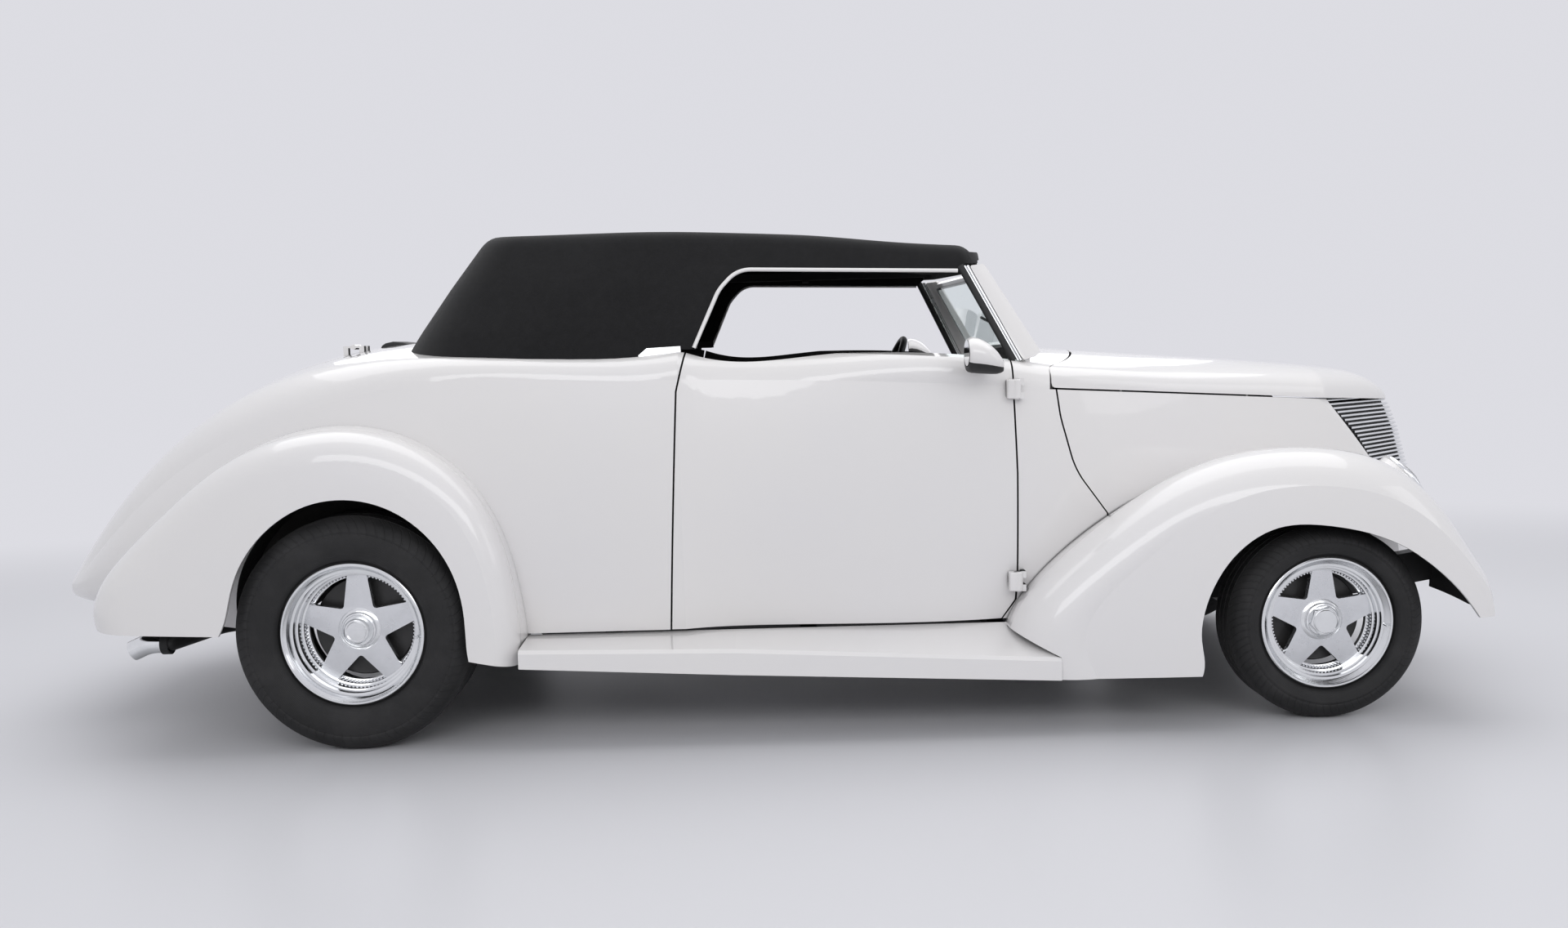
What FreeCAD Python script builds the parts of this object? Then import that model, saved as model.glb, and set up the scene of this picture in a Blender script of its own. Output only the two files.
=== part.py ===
import FreeCAD, Part
import math
import os
from FreeCAD import Vector, Rotation, Placement

# Two-door open hot rod with a fixed-position cloth top, millimetres, +Z up.
# While it is drawn, X = 0 is the rear axle, +X runs forward and +Y to the driver's left.
# At export everything moves so that the origin lies under the middle of the car.

# ---------------------------------------------------------------- driving dimensions
WHEELBASE = 2845.0
FRONT_OVERHANG = 635.0
REAR_OVERHANG = 1040.0
OVERALL_HEIGHT = 1515.0
BODY_WALL = 55.0
SKIN = 20.0
FENDER_SKIN = 12.0
FENDER_HALF_WIDTH = 885.0
PANEL_GAP = 5.5
HOOD_GAP = 6.0
SEAT_GAP = 0.3
FIT = 0.05
SWING_GAP = 8.0

# rear wheel
REAR_TYRE_RADIUS = 342.0
REAR_AXLE_Z = REAR_TYRE_RADIUS
REAR_TYRE_OUT = 858.0
REAR_TYRE_IN = 580.0
REAR_RIM_LIP = 841.0
REAR_RIM_WIDTH = 236.0
REAR_FLANGE_RADIUS = 207.5
# front wheel
FRONT_TYRE_RADIUS = 288.0
FRONT_AXLE_Z = FRONT_TYRE_RADIUS
FRONT_TYRE_OUT = 813.0
FRONT_TYRE_IN = 620.0
FRONT_RIM_LIP = 796.0
FRONT_RIM_WIDTH = 158.0
FRONT_FLANGE_RADIUS = 195.0
BEAD_STEP = 17.0
HUB_RADIUS = 62.0
CAP_RADIUS = 40.0
SPOKES = 5
SPINDLE_RADIUS = 20.0
KINGPIN_Y = 596.0
KINGPIN_RADIUS = 12.0
KNUCKLE_LOW = 190.0
KNUCKLE_HIGH = 390.0
ROTOR_RADIUS = 138.0

# body and cabin
BODY_BOTTOM = 305.0
WIDEST_X = 955.0
FLOOR_THICK = 10.0
TRUNK_FLOOR_Z = 490.0
ARCH_RADIUS = 405.0
ARCH_INNER_Y = 536.0
DOOR_BOTTOM = 306.0
DOOR_REAR_TOP = 975.0
DOOR_REAR_LOW = 908.0
HINGE_X = 1947.0
HINGE_OFFSET = 16.0
HINGE_RADIUS = 10.0
HINGE_PIN = 5.0
HINGE_HEIGHT = 60.0
HINGE_TAB = 24.0
HINGE_LOW_Z = 394.0
HINGE_HIGH_Z = 966.0
LID_FRONT = -120.0
LID_HALF_FRONT = 375.0
LID_HALF_REAR = 335.0

# frame
RAIL_IN = 370.0
RAIL_WIDTH = 50.0
RAIL_DEPTH = 100.0
AXLE_TUBE_RADIUS = 38.0
SPRING_WIDTH = 60.0
SPRING_THICK = 26.0

# top, glass and seat
CLOTH = 14.0
BOW = 18.0
GLASS = 6.0
SCREEN_FRAME = 26.0
SEAT_HALF = 600.0

# running boards
BOARD_INNER_Y = 694.0
BOARD_FRONT = 2042.0
BOARD_REAR = 483.0

NOSE_FRONT = WHEELBASE + FRONT_OVERHANG
MID_X = (NOSE_FRONT - REAR_OVERHANG) / 2.0
SIDES = (("right", -1.0), ("left", 1.0))


# ---------------------------------------------------------------- small helpers
def vec(x, y, z):
    return Vector(x, y, z)


def seg(a, b):
    return Part.LineSegment(a, b).toShape()


def arc(a, m, b):
    return Part.Arc(a, m, b).toShape()


def box(x0, x1, y0, y1, z0, z1):
    low = vec(min(x0, x1), min(y0, y1), min(z0, z1))
    return Part.makeBox(abs(x1 - x0), abs(y1 - y0), abs(z1 - z0), low)


def rod(start, direction, radius, length):
    return Part.makeCylinder(radius, length, start, direction)


def mirrored(shape):
    return shape.mirror(vec(0, 0, 0), vec(0, 1, 0))


def to_side(shape, side):
    # Shapes are drawn on the right (negative Y) and mirrored for the left.
    return shape if side < 0 else mirrored(shape)


def rounded_edges(points, radii, closed):
    # Straight runs joined by tangent arcs; radii has one value per point, 0 keeps the corner.
    count = len(points)
    starts = []
    ends = []
    mids = []
    for i in range(count):
        here = points[i]
        inner = closed or 0 < i < count - 1
        if radii[i] <= 0 or not inner:
            starts.append(here)
            ends.append(here)
            mids.append(None)
            continue
        before = (points[i - 1] - here).normalize()
        after = (points[(i + 1) % count] - here).normalize()
        half = before.getAngle(after) / 2.0
        reach = radii[i] / math.tan(half)
        centre = here + (before + after).normalize() * (radii[i] / math.sin(half))
        toward = (here - centre).normalize()
        starts.append(here + before * reach)
        ends.append(here + after * reach)
        mids.append(centre + toward * radii[i])
    edges = []
    for i in range(count):
        if mids[i] is not None:
            edges.append(arc(starts[i], mids[i], ends[i]))
        if i == count - 1 and not closed:
            break
        nxt = starts[(i + 1) % count]
        if (nxt - ends[i]).Length > 1e-6:
            edges.append(seg(ends[i], nxt))
    return edges


def outline(points, radii=None):
    # A closed wire through points with the corner radii given.
    if radii is None:
        radii = [0.0] * len(points)
    return Part.Wire(Part.__sortEdges__(rounded_edges(points, radii, True)))


def side_prism(pairs, y0, y1, radii=None):
    # A side-view outline of (x, z) pairs extruded across the car from y0 to y1.
    wire = outline([vec(x, y0, z) for x, z in pairs], radii)
    return Part.Face(wire).extrude(vec(0, y1 - y0, 0))


def plan_prism(pairs, z0, z1, radii=None):
    wire = outline([vec(x, y, z0) for x, y in pairs], radii)
    return Part.Face(wire).extrude(vec(0, 0, z1 - z0))


def biggest(shape):
    return max(shape.Solids, key=lambda s: s.Volume)


def keep_large(shape, least):
    solids = [s for s in shape.Solids if s.Volume > least]
    return solids[0] if len(solids) == 1 else Part.makeCompound(solids)


def tube_path(points, radii, radius):
    edges = rounded_edges(points, radii, False)
    path = Part.Wire(edges)
    ring = Part.Wire(Part.makeCircle(radius, points[0], points[1] - points[0]))
    return path.makePipeShell([ring], True, False)


# ---------------------------------------------------------------- body surface
# One row per station along the car. Columns: x, bottom z, bottom half width, widest z,
# widest half width, crease z, crease half width, shoulder z, shoulder half width, crown z.
STATION_COLUMNS = ("x", "zb", "wb", "zm", "wm", "zt", "wt", "zs", "ws", "zc")
STATIONS = (
    (-1040.0, 392.0, 300.0, 412.0, 348.0, 432.0, 350.0, 460.0, 262.0, 472.0),
    (-877.0, 372.0, 430.0, 455.0, 505.0, 560.0, 480.0, 660.0, 340.0, 693.0),
    (-616.0, 345.0, 560.0, 560.0, 628.0, 780.0, 568.0, 905.0, 405.0, 950.0),
    (-250.0, 315.0, 650.0, 640.0, 704.0, 955.0, 655.0, 1085.0, 495.0, 1130.0),
    (120.0, 305.0, 695.0, 680.0, 738.0, 1045.0, 716.0, 1130.0, 640.0, 1182.0),
    (560.0, 305.0, 712.0, 690.0, 752.0, 1060.0, 736.0, 1118.0, 690.0, 1165.0),
    (955.0, 305.0, 715.0, 690.0, 755.0, 1050.0, 739.0, 1128.0, 692.0, 1165.0),
    (1500.0, 305.0, 705.0, 690.0, 743.0, 1030.0, 728.0, 1110.0, 682.0, 1150.0),
    (1945.0, 305.0, 672.0, 690.0, 708.0, 1003.0, 694.0, 1078.0, 650.0, 1128.0),
    (2240.0, 305.0, 562.0, 650.0, 602.0, 978.0, 578.0, 1048.0, 460.0, 1100.0),
    (2600.0, 305.0, 402.0, 650.0, 442.0, 952.0, 428.0, 1020.0, 335.0, 1070.0),
    (3020.0, 305.0, 268.0, 650.0, 300.0, 922.0, 288.0, 985.0, 215.0, 1032.0),
    (3480.0, 305.0, 165.0, 650.0, 190.0, 888.0, 180.0, 940.0, 130.0, 985.0),
)


def station_at(x):
    rows = [dict(zip(STATION_COLUMNS, row)) for row in STATIONS]
    for low, high in zip(rows, rows[1:]):
        if low["x"] <= x <= high["x"]:
            share = (x - low["x"]) / (high["x"] - low["x"])
            return {k: low[k] + (high[k] - low[k]) * share for k in STATION_COLUMNS}
    return rows[-1]


def half_width(x, z):
    # Outer half width of the body at a station and height, by its section's corners.
    row = station_at(x)
    corners = ((row["zb"], row["wb"]), (row["zm"], row["wm"]), (row["zt"], row["wt"]))
    corners = corners + ((row["zs"], row["ws"]),)
    for low, high in zip(corners, corners[1:]):
        if low[0] <= z <= high[0]:
            share = (z - low[0]) / (high[0] - low[0])
            return low[1] + (high[1] - low[1]) * share
    return corners[0][1] if z < corners[0][0] else corners[-1][1]


def body_section(row, wall, drop):
    # Closed section: floor line, side arcs, shoulder arcs and a crowned top.
    x = row["x"]
    bottom = row["zb"] - drop
    wb = row["wb"] - wall
    wm = row["wm"] - wall
    wt = row["wt"] - wall
    ws = row["ws"] - wall * 0.9
    zt = row["zt"] - wall * 0.35
    zs = row["zs"] - wall * 0.85
    zc = row["zc"] - wall
    sx = (wt + ws) / 2.0 + (zs - zt) * 0.16
    sz = (zt + zs) / 2.0 + (wt - ws) * 0.16
    edges = [
        seg(vec(x, -wb, bottom), vec(x, wb, bottom)),
        arc(vec(x, wb, bottom), vec(x, wm, row["zm"]), vec(x, wt, zt)),
        arc(vec(x, wt, zt), vec(x, sx, sz), vec(x, ws, zs)),
        arc(vec(x, ws, zs), vec(x, 0, zc), vec(x, -ws, zs)),
        arc(vec(x, -ws, zs), vec(x, -sx, sz), vec(x, -wt, zt)),
        arc(vec(x, -wt, zt), vec(x, -wm, row["zm"]), vec(x, -wb, bottom)),
    ]
    return Part.Wire(edges)


def body_solid(wall, first_x, drop):
    # Two lofts that meet at the widest station, where the sides run straight along the car.
    rows = [dict(zip(STATION_COLUMNS, row)) for row in STATIONS]
    halves = []
    for low, high in ((first_x, WIDEST_X), (WIDEST_X, rows[-1]["x"])):
        start = max(low, first_x)
        if start >= high:
            continue
        inside = [r for r in rows if start + 30.0 < r["x"] <= high]
        wires = [body_section(r, wall, drop) for r in [station_at(start)] + inside]
        halves.append(Part.makeLoft(wires, True, False))
    if len(halves) == 1:
        return halves[0]
    return biggest(halves[0].fuse(halves[1]))


# The prow is a round-nosed V in plan that leans back towards the top.
# Columns: z, tip x, x where the V is 250 wide each side.
PROW_START = 2850.0
PROW_ROWS = (
    (300.0, 3480.0, 3270.0),
    (560.0, 3466.0, 3250.0),
    (800.0, 3404.0, 3135.0),
    (1060.0, 3300.0, 2925.0),
)


def prow_wire(z, tip, shoulder, inset):
    tip = tip - inset * 1.5
    shoulder = shoulder - inset * 1.5
    slope = (tip - shoulder) / 250.0
    flat = 60.0
    reach = 700.0
    near = tip - flat * slope * 0.62
    far = tip - reach * slope
    edges = [
        arc(vec(near, -flat, z), vec(tip, 0, z), vec(near, flat, z)),
        seg(vec(near, flat, z), vec(far, reach, z)),
        seg(vec(far, reach, z), vec(-1300.0, reach + 400, z)),
        seg(vec(-1300.0, reach + 400, z), vec(-1300.0, -reach - 400, z)),
        seg(vec(-1300.0, -reach - 400, z), vec(far, -reach, z)),
        seg(vec(far, -reach, z), vec(near, -flat, z)),
    ]
    return Part.Wire(edges)


def prow_waste(inset):
    # What lies ahead of the V, to be cut off the nose.
    wires = [prow_wire(z, tip, shoulder, inset) for z, tip, shoulder in PROW_ROWS]
    kept = Part.makeLoft(wires, True, False)
    return box(PROW_START, 3700.0, -900.0, 900.0, 301.0, 1059.0).cut(kept)


# Side-view limit of the nose: the hood crest rolls down to the top of the grille.
CREST = ((2500.0, 1250.0), (3120.0, 1100.0), (3282.0, 1012.0), (3385.0, 880.0), (3600.0, 600.0))


def crest_waste(lower):
    # What lies above and ahead of the rolled crest.
    pairs = [(x, z - lower) for x, z in CREST]
    pairs = pairs + [(3700.0, 600.0 - lower), (3700.0, 1400.0), (CREST[0][0], 1400.0)]
    return side_prism(pairs, -900.0, 900.0, [0, 0, 160.0, 0, 0, 0, 0, 0])


def shaped(solid, inset):
    # A body loft with its nose brought to the V and the crest.
    return biggest(solid.cut(prow_waste(inset)).cut(crest_waste(inset)))


print("body lofts")
OUTER_FULL = body_solid(0.0, -REAR_OVERHANG, 0.0)
OUTER = shaped(OUTER_FULL, 0.0)
INNER_BODY = body_solid(BODY_WALL, -REAR_OVERHANG + BODY_WALL + 10.0, 80.0)
INNER_NOSE = body_solid(SKIN, -REAR_OVERHANG + BODY_WALL, 80.0)
INNER_NOSE = shaped(INNER_NOSE, SKIN)
BODY_SHELL = OUTER.cut(INNER_BODY)
NOSE_SHELL = OUTER.cut(INNER_NOSE)

# ---------------------------------------------------------------- seams of the body panels
# Hood side seam against the cowl, from the hood's rear corner down to the fender.
COWL_SEAM = ((2330.0, 1400.0), (2330.0, 989.0), (2079.0, 989.0), (2090.0, 905.0), (2135.0, 745.0),
             (2243.0, 605.0))
HOOD_LINE = ((2079.0, 988.0), (3020.0, 921.0), (3420.0, 893.0))
DOOR_FRONT_SEAM = ((1947.0, 1300.0), (1947.0, 1000.0), (1955.0, 745.0), (1954.0, 424.0), (1950.0, 362.0))


def door_outline(gap):
    pairs = [(DOOR_REAR_TOP + gap + 14.0, 1300.0), (DOOR_REAR_TOP + gap, 1134.0)]
    pairs += [(946.0 + gap, 1014.0), (DOOR_REAR_LOW + gap, DOOR_BOTTOM - 8.0)]
    pairs += [(1902.0 - gap, DOOR_BOTTOM - 8.0), (1950.0 - gap * 1.2, 362.0)]
    pairs += [(x - gap, z) for x, z in reversed(DOOR_FRONT_SEAM[:4])]
    return pairs


def behind_cowl_seam(shift, z_low):
    # Everything rearward of the hood side seam.
    pairs = [(-1300.0, 1400.0)] + [(x + shift, z) for x, z in COWL_SEAM]
    pairs += [(2262.0 + shift, z_low), (-1300.0, z_low)]
    return side_prism(pairs, -1000.0, 1000.0, [0, 0, 0, 0, 260.0, 260.0, 0, 0, 0])


def hood_rear_edge(shift):
    # Plan view of the swept rear edge of the hood, open towards the nose.
    mid = vec(2164.0 + shift, -400.0, 850.0)
    edges = [
        seg(vec(3600.0, -900.0, 850.0), vec(2010.0 + shift, -900.0, 850.0)),
        seg(vec(2010.0 + shift, -900.0, 850.0), vec(2072.0 + shift, -600.0, 850.0)),
        arc(vec(2072.0 + shift, -600.0, 850.0), mid, vec(2238.0 + shift, 0, 850.0)),
        arc(vec(2238.0 + shift, 0, 850.0), vec(mid.x, 400.0, 850.0), vec(2072.0 + shift, 600.0, 850.0)),
        seg(vec(2072.0 + shift, 600.0, 850.0), vec(2010.0 + shift, 900.0, 850.0)),
        seg(vec(2010.0 + shift, 900.0, 850.0), vec(3600.0, 900.0, 850.0)),
        seg(vec(3600.0, 900.0, 850.0), vec(3600.0, -900.0, 850.0)),
    ]
    return Part.Face(Part.Wire(edges)).extrude(vec(0, 0, 500.0))


def hood_region(gap):
    side = side_prism([(2040.0, HOOD_LINE[0][1] + gap + 3.0)]
                      + [(x, z + gap) for x, z in HOOD_LINE[1:]]
                      + [(3600.0, 880.0 + gap), (3600.0, 1350.0), (2040.0, 1350.0)], -900.0, 900.0)
    return side.common(hood_rear_edge(gap))


# Opening of the cabin, in plan: half outline from the screen's point to the rear shelf.
CABIN_EDGE = ((2088.0, 0.0), (2010.0, 560.0), (1945.0, 626.0), (1500.0, 656.0), (955.0, 668.0),
              (560.0, 664.0), (330.0, 610.0), (200.0, 430.0), (168.0, 0.0))
CABIN_PLAN = [(x, -y) for x, y in CABIN_EDGE] + [(x, y) for x, y in reversed(CABIN_EDGE[1:-1])]
CABIN_OPENING = plan_prism(CABIN_PLAN, 980.0, 1300.0)

LID_PIN_X = LID_FRONT
LID_PIN_Z = 1170.0
LID_HINGE_Y = 240.0
LID_HINGE_WIDTH = 66.0


def lid_hinge(y):
    # Outside hinge across the lid's front edge: fixed barrels and pin, moving barrel.
    third = LID_HINGE_WIDTH / 3.0
    low = y - LID_HINGE_WIDTH / 2.0
    x = LID_PIN_X
    z = LID_PIN_Z
    fixed = [rod(vec(x, low, z), vec(0, 1, 0), 3.5, LID_HINGE_WIDTH)]
    for y0 in (low, low + 2.0 * third):
        fixed.append(rod(vec(x, y0, z), vec(0, 1, 0), 8.0, third))
        fixed.append(box(x, x + 34.0, y0, y0 + third, z - 3.0, z + 3.0))
        fixed.append(box(x + 18.0, x + 34.0, y0, y0 + third, z - 46.0, z + 3.0))
    y0 = low + third + 0.5
    y1 = low + 2.0 * third - 0.5
    moving = rod(vec(x, y0, z), vec(0, 1, 0), 8.0, y1 - y0)
    moving = moving.multiFuse([box(x - 40.0, x, y0, y1, z - 3.0, z + 3.0),
                               box(x - 40.0, x - 24.0, y0, y1, z - 50.0, z + 3.0)])
    moving = moving.cut(rod(vec(x, low - 5.0, z), vec(0, 1, 0), 3.5 + FIT, LID_HINGE_WIDTH + 10.0))
    return fixed[0].multiFuse(fixed[1:]), moving



def lid_region(gap):
    side = [(LID_FRONT - gap, 1260.0), (LID_FRONT - gap, 1010.0), (-480.0, 820.0)]
    side += [(-815.0 + gap, 520.0), (-1000.0 + gap, 668.0), (-1000.0 + gap, 1260.0)]
    front = LID_HALF_FRONT - gap
    rear = LID_HALF_REAR - gap
    plan = [(LID_FRONT - gap, -front), (LID_FRONT - gap, front), (-1000.0, rear), (-1000.0, -rear)]
    return side_prism(side, -600.0, 600.0).common(plan_prism(plan, 400.0, 1300.0))


print("panels")
body_walls = BODY_SHELL.common(behind_cowl_seam(0.0, 250.0)).cut(hood_region(0.0)).cut(CABIN_OPENING)
door_cut = side_prism(door_outline(0.0), -1000.0, 1000.0)
rest = body_walls.cut(door_cut)
pieces = sorted(rest.Solids, key=lambda s: s.CenterOfMass.x)
rear_body = keep_large(Part.makeCompound([s for s in pieces if s.CenterOfMass.x < 950.0]), 1e5)
cowl = keep_large(Part.makeCompound([s for s in pieces if s.CenterOfMass.x > 1900.0]), 1e5)

arch = rod(vec(0, -1000.0, REAR_AXLE_Z), vec(0, 1, 0), ARCH_RADIUS, 1000.0 - ARCH_INNER_Y)
arches = arch.fuse(mirrored(arch))
rear_body = rear_body.cut(arches)
rear_body = rear_body.cut(box(-ARCH_RADIUS, ARCH_RADIUS, -1000, 1000, 200.0, REAR_AXLE_Z))
rear_body = rear_body.cut(lid_region(0.0))
trunk_lid = biggest(BODY_SHELL.common(lid_region(PANEL_GAP)))
for y in (-LID_HINGE_Y, LID_HINGE_Y):
    lid_fixed, lid_moving = lid_hinge(y)
    rear_body = rear_body.fuse(lid_fixed)
    trunk_lid = biggest(trunk_lid.fuse(lid_moving))

door_shell = BODY_SHELL.cut(CABIN_OPENING)
doors = {}
for name, side in SIDES:
    region = side_prism(door_outline(PANEL_GAP), 0.0, side * 1000.0)
    region = region.common(box(800.0, 2100.0, 0, side * 1000, DOOR_BOTTOM, 1300.0))
    doors[name] = biggest(door_shell.common(region))

nose = NOSE_SHELL.cut(behind_cowl_seam(PANEL_GAP, 100.0))
hood = biggest(NOSE_SHELL.common(hood_region(HOOD_GAP)))
nose = nose.cut(hood_region(0.0))

# Grille: the V of the prow below the hood, behind a slanted edge, above the front apron.
GRILLE_REAR = ((3040.0, 930.0), (3205.0, 722.0), (3262.0, 520.0))
GRILLE_LOW = 520.0


def grille_region(gap):
    pairs = [(GRILLE_REAR[0][0] + gap, GRILLE_REAR[0][1]), (GRILLE_REAR[1][0] + gap, GRILLE_REAR[1][1])]
    pairs += [(GRILLE_REAR[2][0] + gap, GRILLE_LOW + gap), (3600.0, GRILLE_LOW + gap), (3600.0, 1000.0)]
    pairs += [(3040.0 + gap, 1000.0)]
    return side_prism(pairs, -600.0, 600.0)


nose = nose.cut(grille_region(0.0))
lower_nose = side_prism([(2200.0, 540.0), (3190.0, 540.0), (3240.0, 330.0), (3600.0, 330.0), (3600.0, 100.0),
                         (2200.0, 100.0)], -900.0, 900.0)
nose = nose.cut(lower_nose)
pads = []
for x in (2300.0, 2750.0):
    pad_z = HOOD_LINE[0][1] + (x - HOOD_LINE[0][0]) * (HOOD_LINE[1][1] - HOOD_LINE[0][1]) / 941.0
    pad_y = half_width(x, pad_z) - 14.0
    for y in (-pad_y, pad_y - 10.0):
        pads.append(box(x, x + 6.0, y, y + 10.0, pad_z - 12.0, pad_z + HOOD_GAP - 0.9))
nose = keep_large(nose, 1e5)
nose = keep_large(nose.multiFuse(pads), 1e4)

GRILLE_PITCH = 14.0
GRILLE_BAR = 5.0
GRILLE_DEPTH = 26.0
GRILLE_TOP = 884.0
print("grille")


def between(rows, z):
    # Straight-line value of a row table at height z.
    for low, high in zip(rows, rows[1:]):
        if low[0] <= z <= high[0]:
            share = (z - low[0]) / (high[0] - low[0])
            return [a + (b - a) * share for a, b in zip(low, high)]
    return rows[-1]


def v_point(z, y, inset):
    # X of the V at a height and distance from the middle.
    _, tip, shoulder = between(PROW_ROWS, z)
    slope = (tip - shoulder) / 250.0
    near = tip - 60.0 * slope * 0.62
    return near - (abs(y) - 60.0) * slope - inset


def grille_rear_x(z):
    return between(sorted((zz, x) for x, zz in GRILLE_REAR), z)[1]


def v_bar(z, height, outer, inner):
    # One bar: the V in plan between two insets, ending on the slanted rear edge.
    _, tip, shoulder = between(PROW_ROWS, z)
    slope = (tip - shoulder) / 250.0
    rear = grille_rear_x(z) + SEAT_GAP
    ends = []
    for inset in (outer, inner):
        near = v_point(z, 60.0, inset)
        side = 60.0 + (near - rear) / slope
        ends.append((inset, near, side))
    (_, xo, so), (_, xi, si) = ends
    edges = [
        arc(vec(xo, -60.0, z), vec(tip - outer, 0, z), vec(xo, 60.0, z)),
        seg(vec(xo, 60.0, z), vec(rear, so, z)),
        seg(vec(rear, so, z), vec(rear, si, z)),
        seg(vec(rear, si, z), vec(xi, 60.0, z)),
        arc(vec(xi, 60.0, z), vec(tip - inner, 0, z), vec(xi, -60.0, z)),
        seg(vec(xi, -60.0, z), vec(rear, -si, z)),
        seg(vec(rear, -si, z), vec(rear, -so, z)),
        seg(vec(rear, -so, z), vec(xo, -60.0, z)),
    ]
    return Part.Face(Part.Wire(edges)).extrude(vec(0, 0, height))


bars = []
level = GRILLE_LOW
while level < GRILLE_TOP:
    bars.append(v_bar(level, GRILLE_BAR, 1.0, 1.0 + GRILLE_DEPTH))
    level += GRILLE_PITCH
TOP_BAR = level - GRILLE_PITCH + GRILLE_BAR
ribs = []
for y in (-205.0, -140.0, -75.0, 75.0, 140.0, 205.0):
    pairs = []
    for inset in (9.0, 1.0 + GRILLE_DEPTH + 5.0):
        zs = [GRILLE_LOW, 560.0, 800.0, TOP_BAR]
        line = [(v_point(z, y, inset), z) for z in zs]
        pairs += line if inset < 10.0 else list(reversed(line))
    ribs.append(side_prism(pairs, y - 3.0, y + 3.0))
grille = biggest(bars[0].multiFuse(bars[1:] + ribs))

# ---------------------------------------------------------------- fenders
# Sections stand on planes through the wheel's axle. Columns: angle above forward, root half
# width and radius, crown half width and radius, side radius, lip radius.
FENDER_COLUMNS = ("angle", "ry", "rr", "cy", "cr", "sr", "lr")
REAR_FENDER = (
    (-13.0, 650.0, 486.0, 775.0, 480.0, 424.0, 351.0),
    (8.0, 650.0, 479.0, 775.0, 472.0, 415.0, 338.0),
    (30.0, 650.0, 506.0, 775.0, 498.0, 435.0, 354.0),
    (52.0, 650.0, 553.0, 775.0, 543.0, 468.0, 374.0),
    (76.0, 650.0, 588.0, 775.0, 577.0, 490.0, 392.0),
    (102.0, 640.0, 605.0, 770.0, 593.0, 500.0, 394.0),
    (127.0, 610.0, 628.0, 760.0, 615.0, 510.0, 377.0),
    (146.0, 560.0, 664.0, 745.0, 650.0, 530.0, 362.0),
    (161.0, 500.0, 744.0, 720.0, 722.0, 575.0, 350.0),
    (172.0, 440.0, 800.0, 705.0, 780.0, 620.0, 352.0),
    (178.0, 440.0, 788.0, 700.0, 768.0, 640.0, 366.0),
)
FRONT_FENDER = (
    (3.0, 400.0, 500.0, 690.0, 478.0, 452.0, 406.0),
    (22.0, 330.0, 540.0, 690.0, 472.0, 425.0, 345.0),
    (46.0, 250.0, 505.0, 690.0, 474.0, 402.0, 303.0),
    (70.0, 240.0, 430.0, 690.0, 497.0, 402.0, 288.0),
    (95.0, 290.0, 405.0, 700.0, 512.0, 415.0, 300.0),
    (120.0, 385.0, 450.0, 710.0, 566.0, 462.0, 346.0),
    (141.0, 470.0, 560.0, 730.0, 644.0, 520.0, 373.0),
    (158.0, 550.0, 700.0, 745.0, 742.0, 590.0, 386.0),
    (172.0, 610.0, 850.0, 755.0, 868.0, 690.0, 396.0),
    (184.0, 625.0, 945.0, 760.0, 945.0, 730.0, 400.0),
    (200.0, 640.0, 935.0, 770.0, 930.0, 740.0, 436.0),
)


def fender_section(row, centre_x, centre_z):
    turn = math.radians(row["angle"])
    thick = FENDER_SKIN
    outer_y = FENDER_HALF_WIDTH

    def at(y, r):
        return vec(centre_x + r * math.cos(turn), -y, centre_z + r * math.sin(turn))

    def run(step):
        cr = row["cr"] - step
        rr = row["rr"] - step
        sy = outer_y - 9.0 - step
        ly = outer_y - step
        sr = row["sr"] - step * 0.3
        root = at(row["ry"], rr)
        crown = at(row["cy"], cr)
        flank = at(sy, sr)
        lip = at(ly, row["lr"])
        m1 = at((row["ry"] + row["cy"]) / 2.0, (rr + cr) / 2.0 + 5.0)
        m2 = at(row["cy"] + (sy - row["cy"]) * 0.70, sr + (cr - sr) * 0.73)
        m3 = at((sy + ly) / 2.0 + 1.5, (sr + row["lr"]) / 2.0)
        return root, m1, crown, m2, flank, m3, lip

    a = run(0.0)
    b = run(thick)
    edges = [
        arc(a[0], a[1], a[2]),
        arc(a[2], a[3], a[4]),
        arc(a[4], a[5], a[6]),
        seg(a[6], b[6]),
        arc(b[6], b[5], b[4]),
        arc(b[4], b[3], b[2]),
        arc(b[2], b[1], b[0]),
        seg(b[0], a[0]),
    ]
    return Part.Wire(edges)


def fender_loft(rows, centre_x, centre_z):
    wires = []
    for row in rows:
        wires.append(fender_section(dict(zip(FENDER_COLUMNS, row)), centre_x, centre_z))
    return Part.makeLoft(wires, True, False)


print("fenders")
# Running board: columns x, inner top z, outer top z, outer low z.
BOARD_COLUMNS = ("x", "inner", "outer", "low")
BOARD_ROWS = ((BOARD_REAR, 297.0, 290.0, 237.0), (1104.0, 297.0, 277.0, 203.0),
              (BOARD_FRONT, 296.0, 226.0, 160.0))


def board_section(row):
    x = row["x"]
    top_y = FENDER_HALF_WIDTH - 10.0
    points = [vec(x, -BOARD_INNER_Y, row["inner"]), vec(x, -top_y, row["outer"]),
              vec(x, -FENDER_HALF_WIDTH, row["outer"] - 10.0), vec(x, -FENDER_HALF_WIDTH, row["low"]),
              vec(x, -FENDER_HALF_WIDTH + 14.0, row["low"]),
              vec(x, -FENDER_HALF_WIDTH + 14.0, row["outer"] - 22.0),
              vec(x, -BOARD_INNER_Y, row["inner"] - 24.0)]
    return Part.makePolygon(points + [points[0]])


board = Part.makeLoft([board_section(dict(zip(BOARD_COLUMNS, r))) for r in BOARD_ROWS], True, True)
rear_fender = fender_loft(REAR_FENDER, 0.0, REAR_AXLE_Z)
rear_fender = biggest(rear_fender.cut(OUTER))
board = biggest(board.cut(rear_fender))
boards = {"right": board, "left": mirrored(board)}

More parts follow.
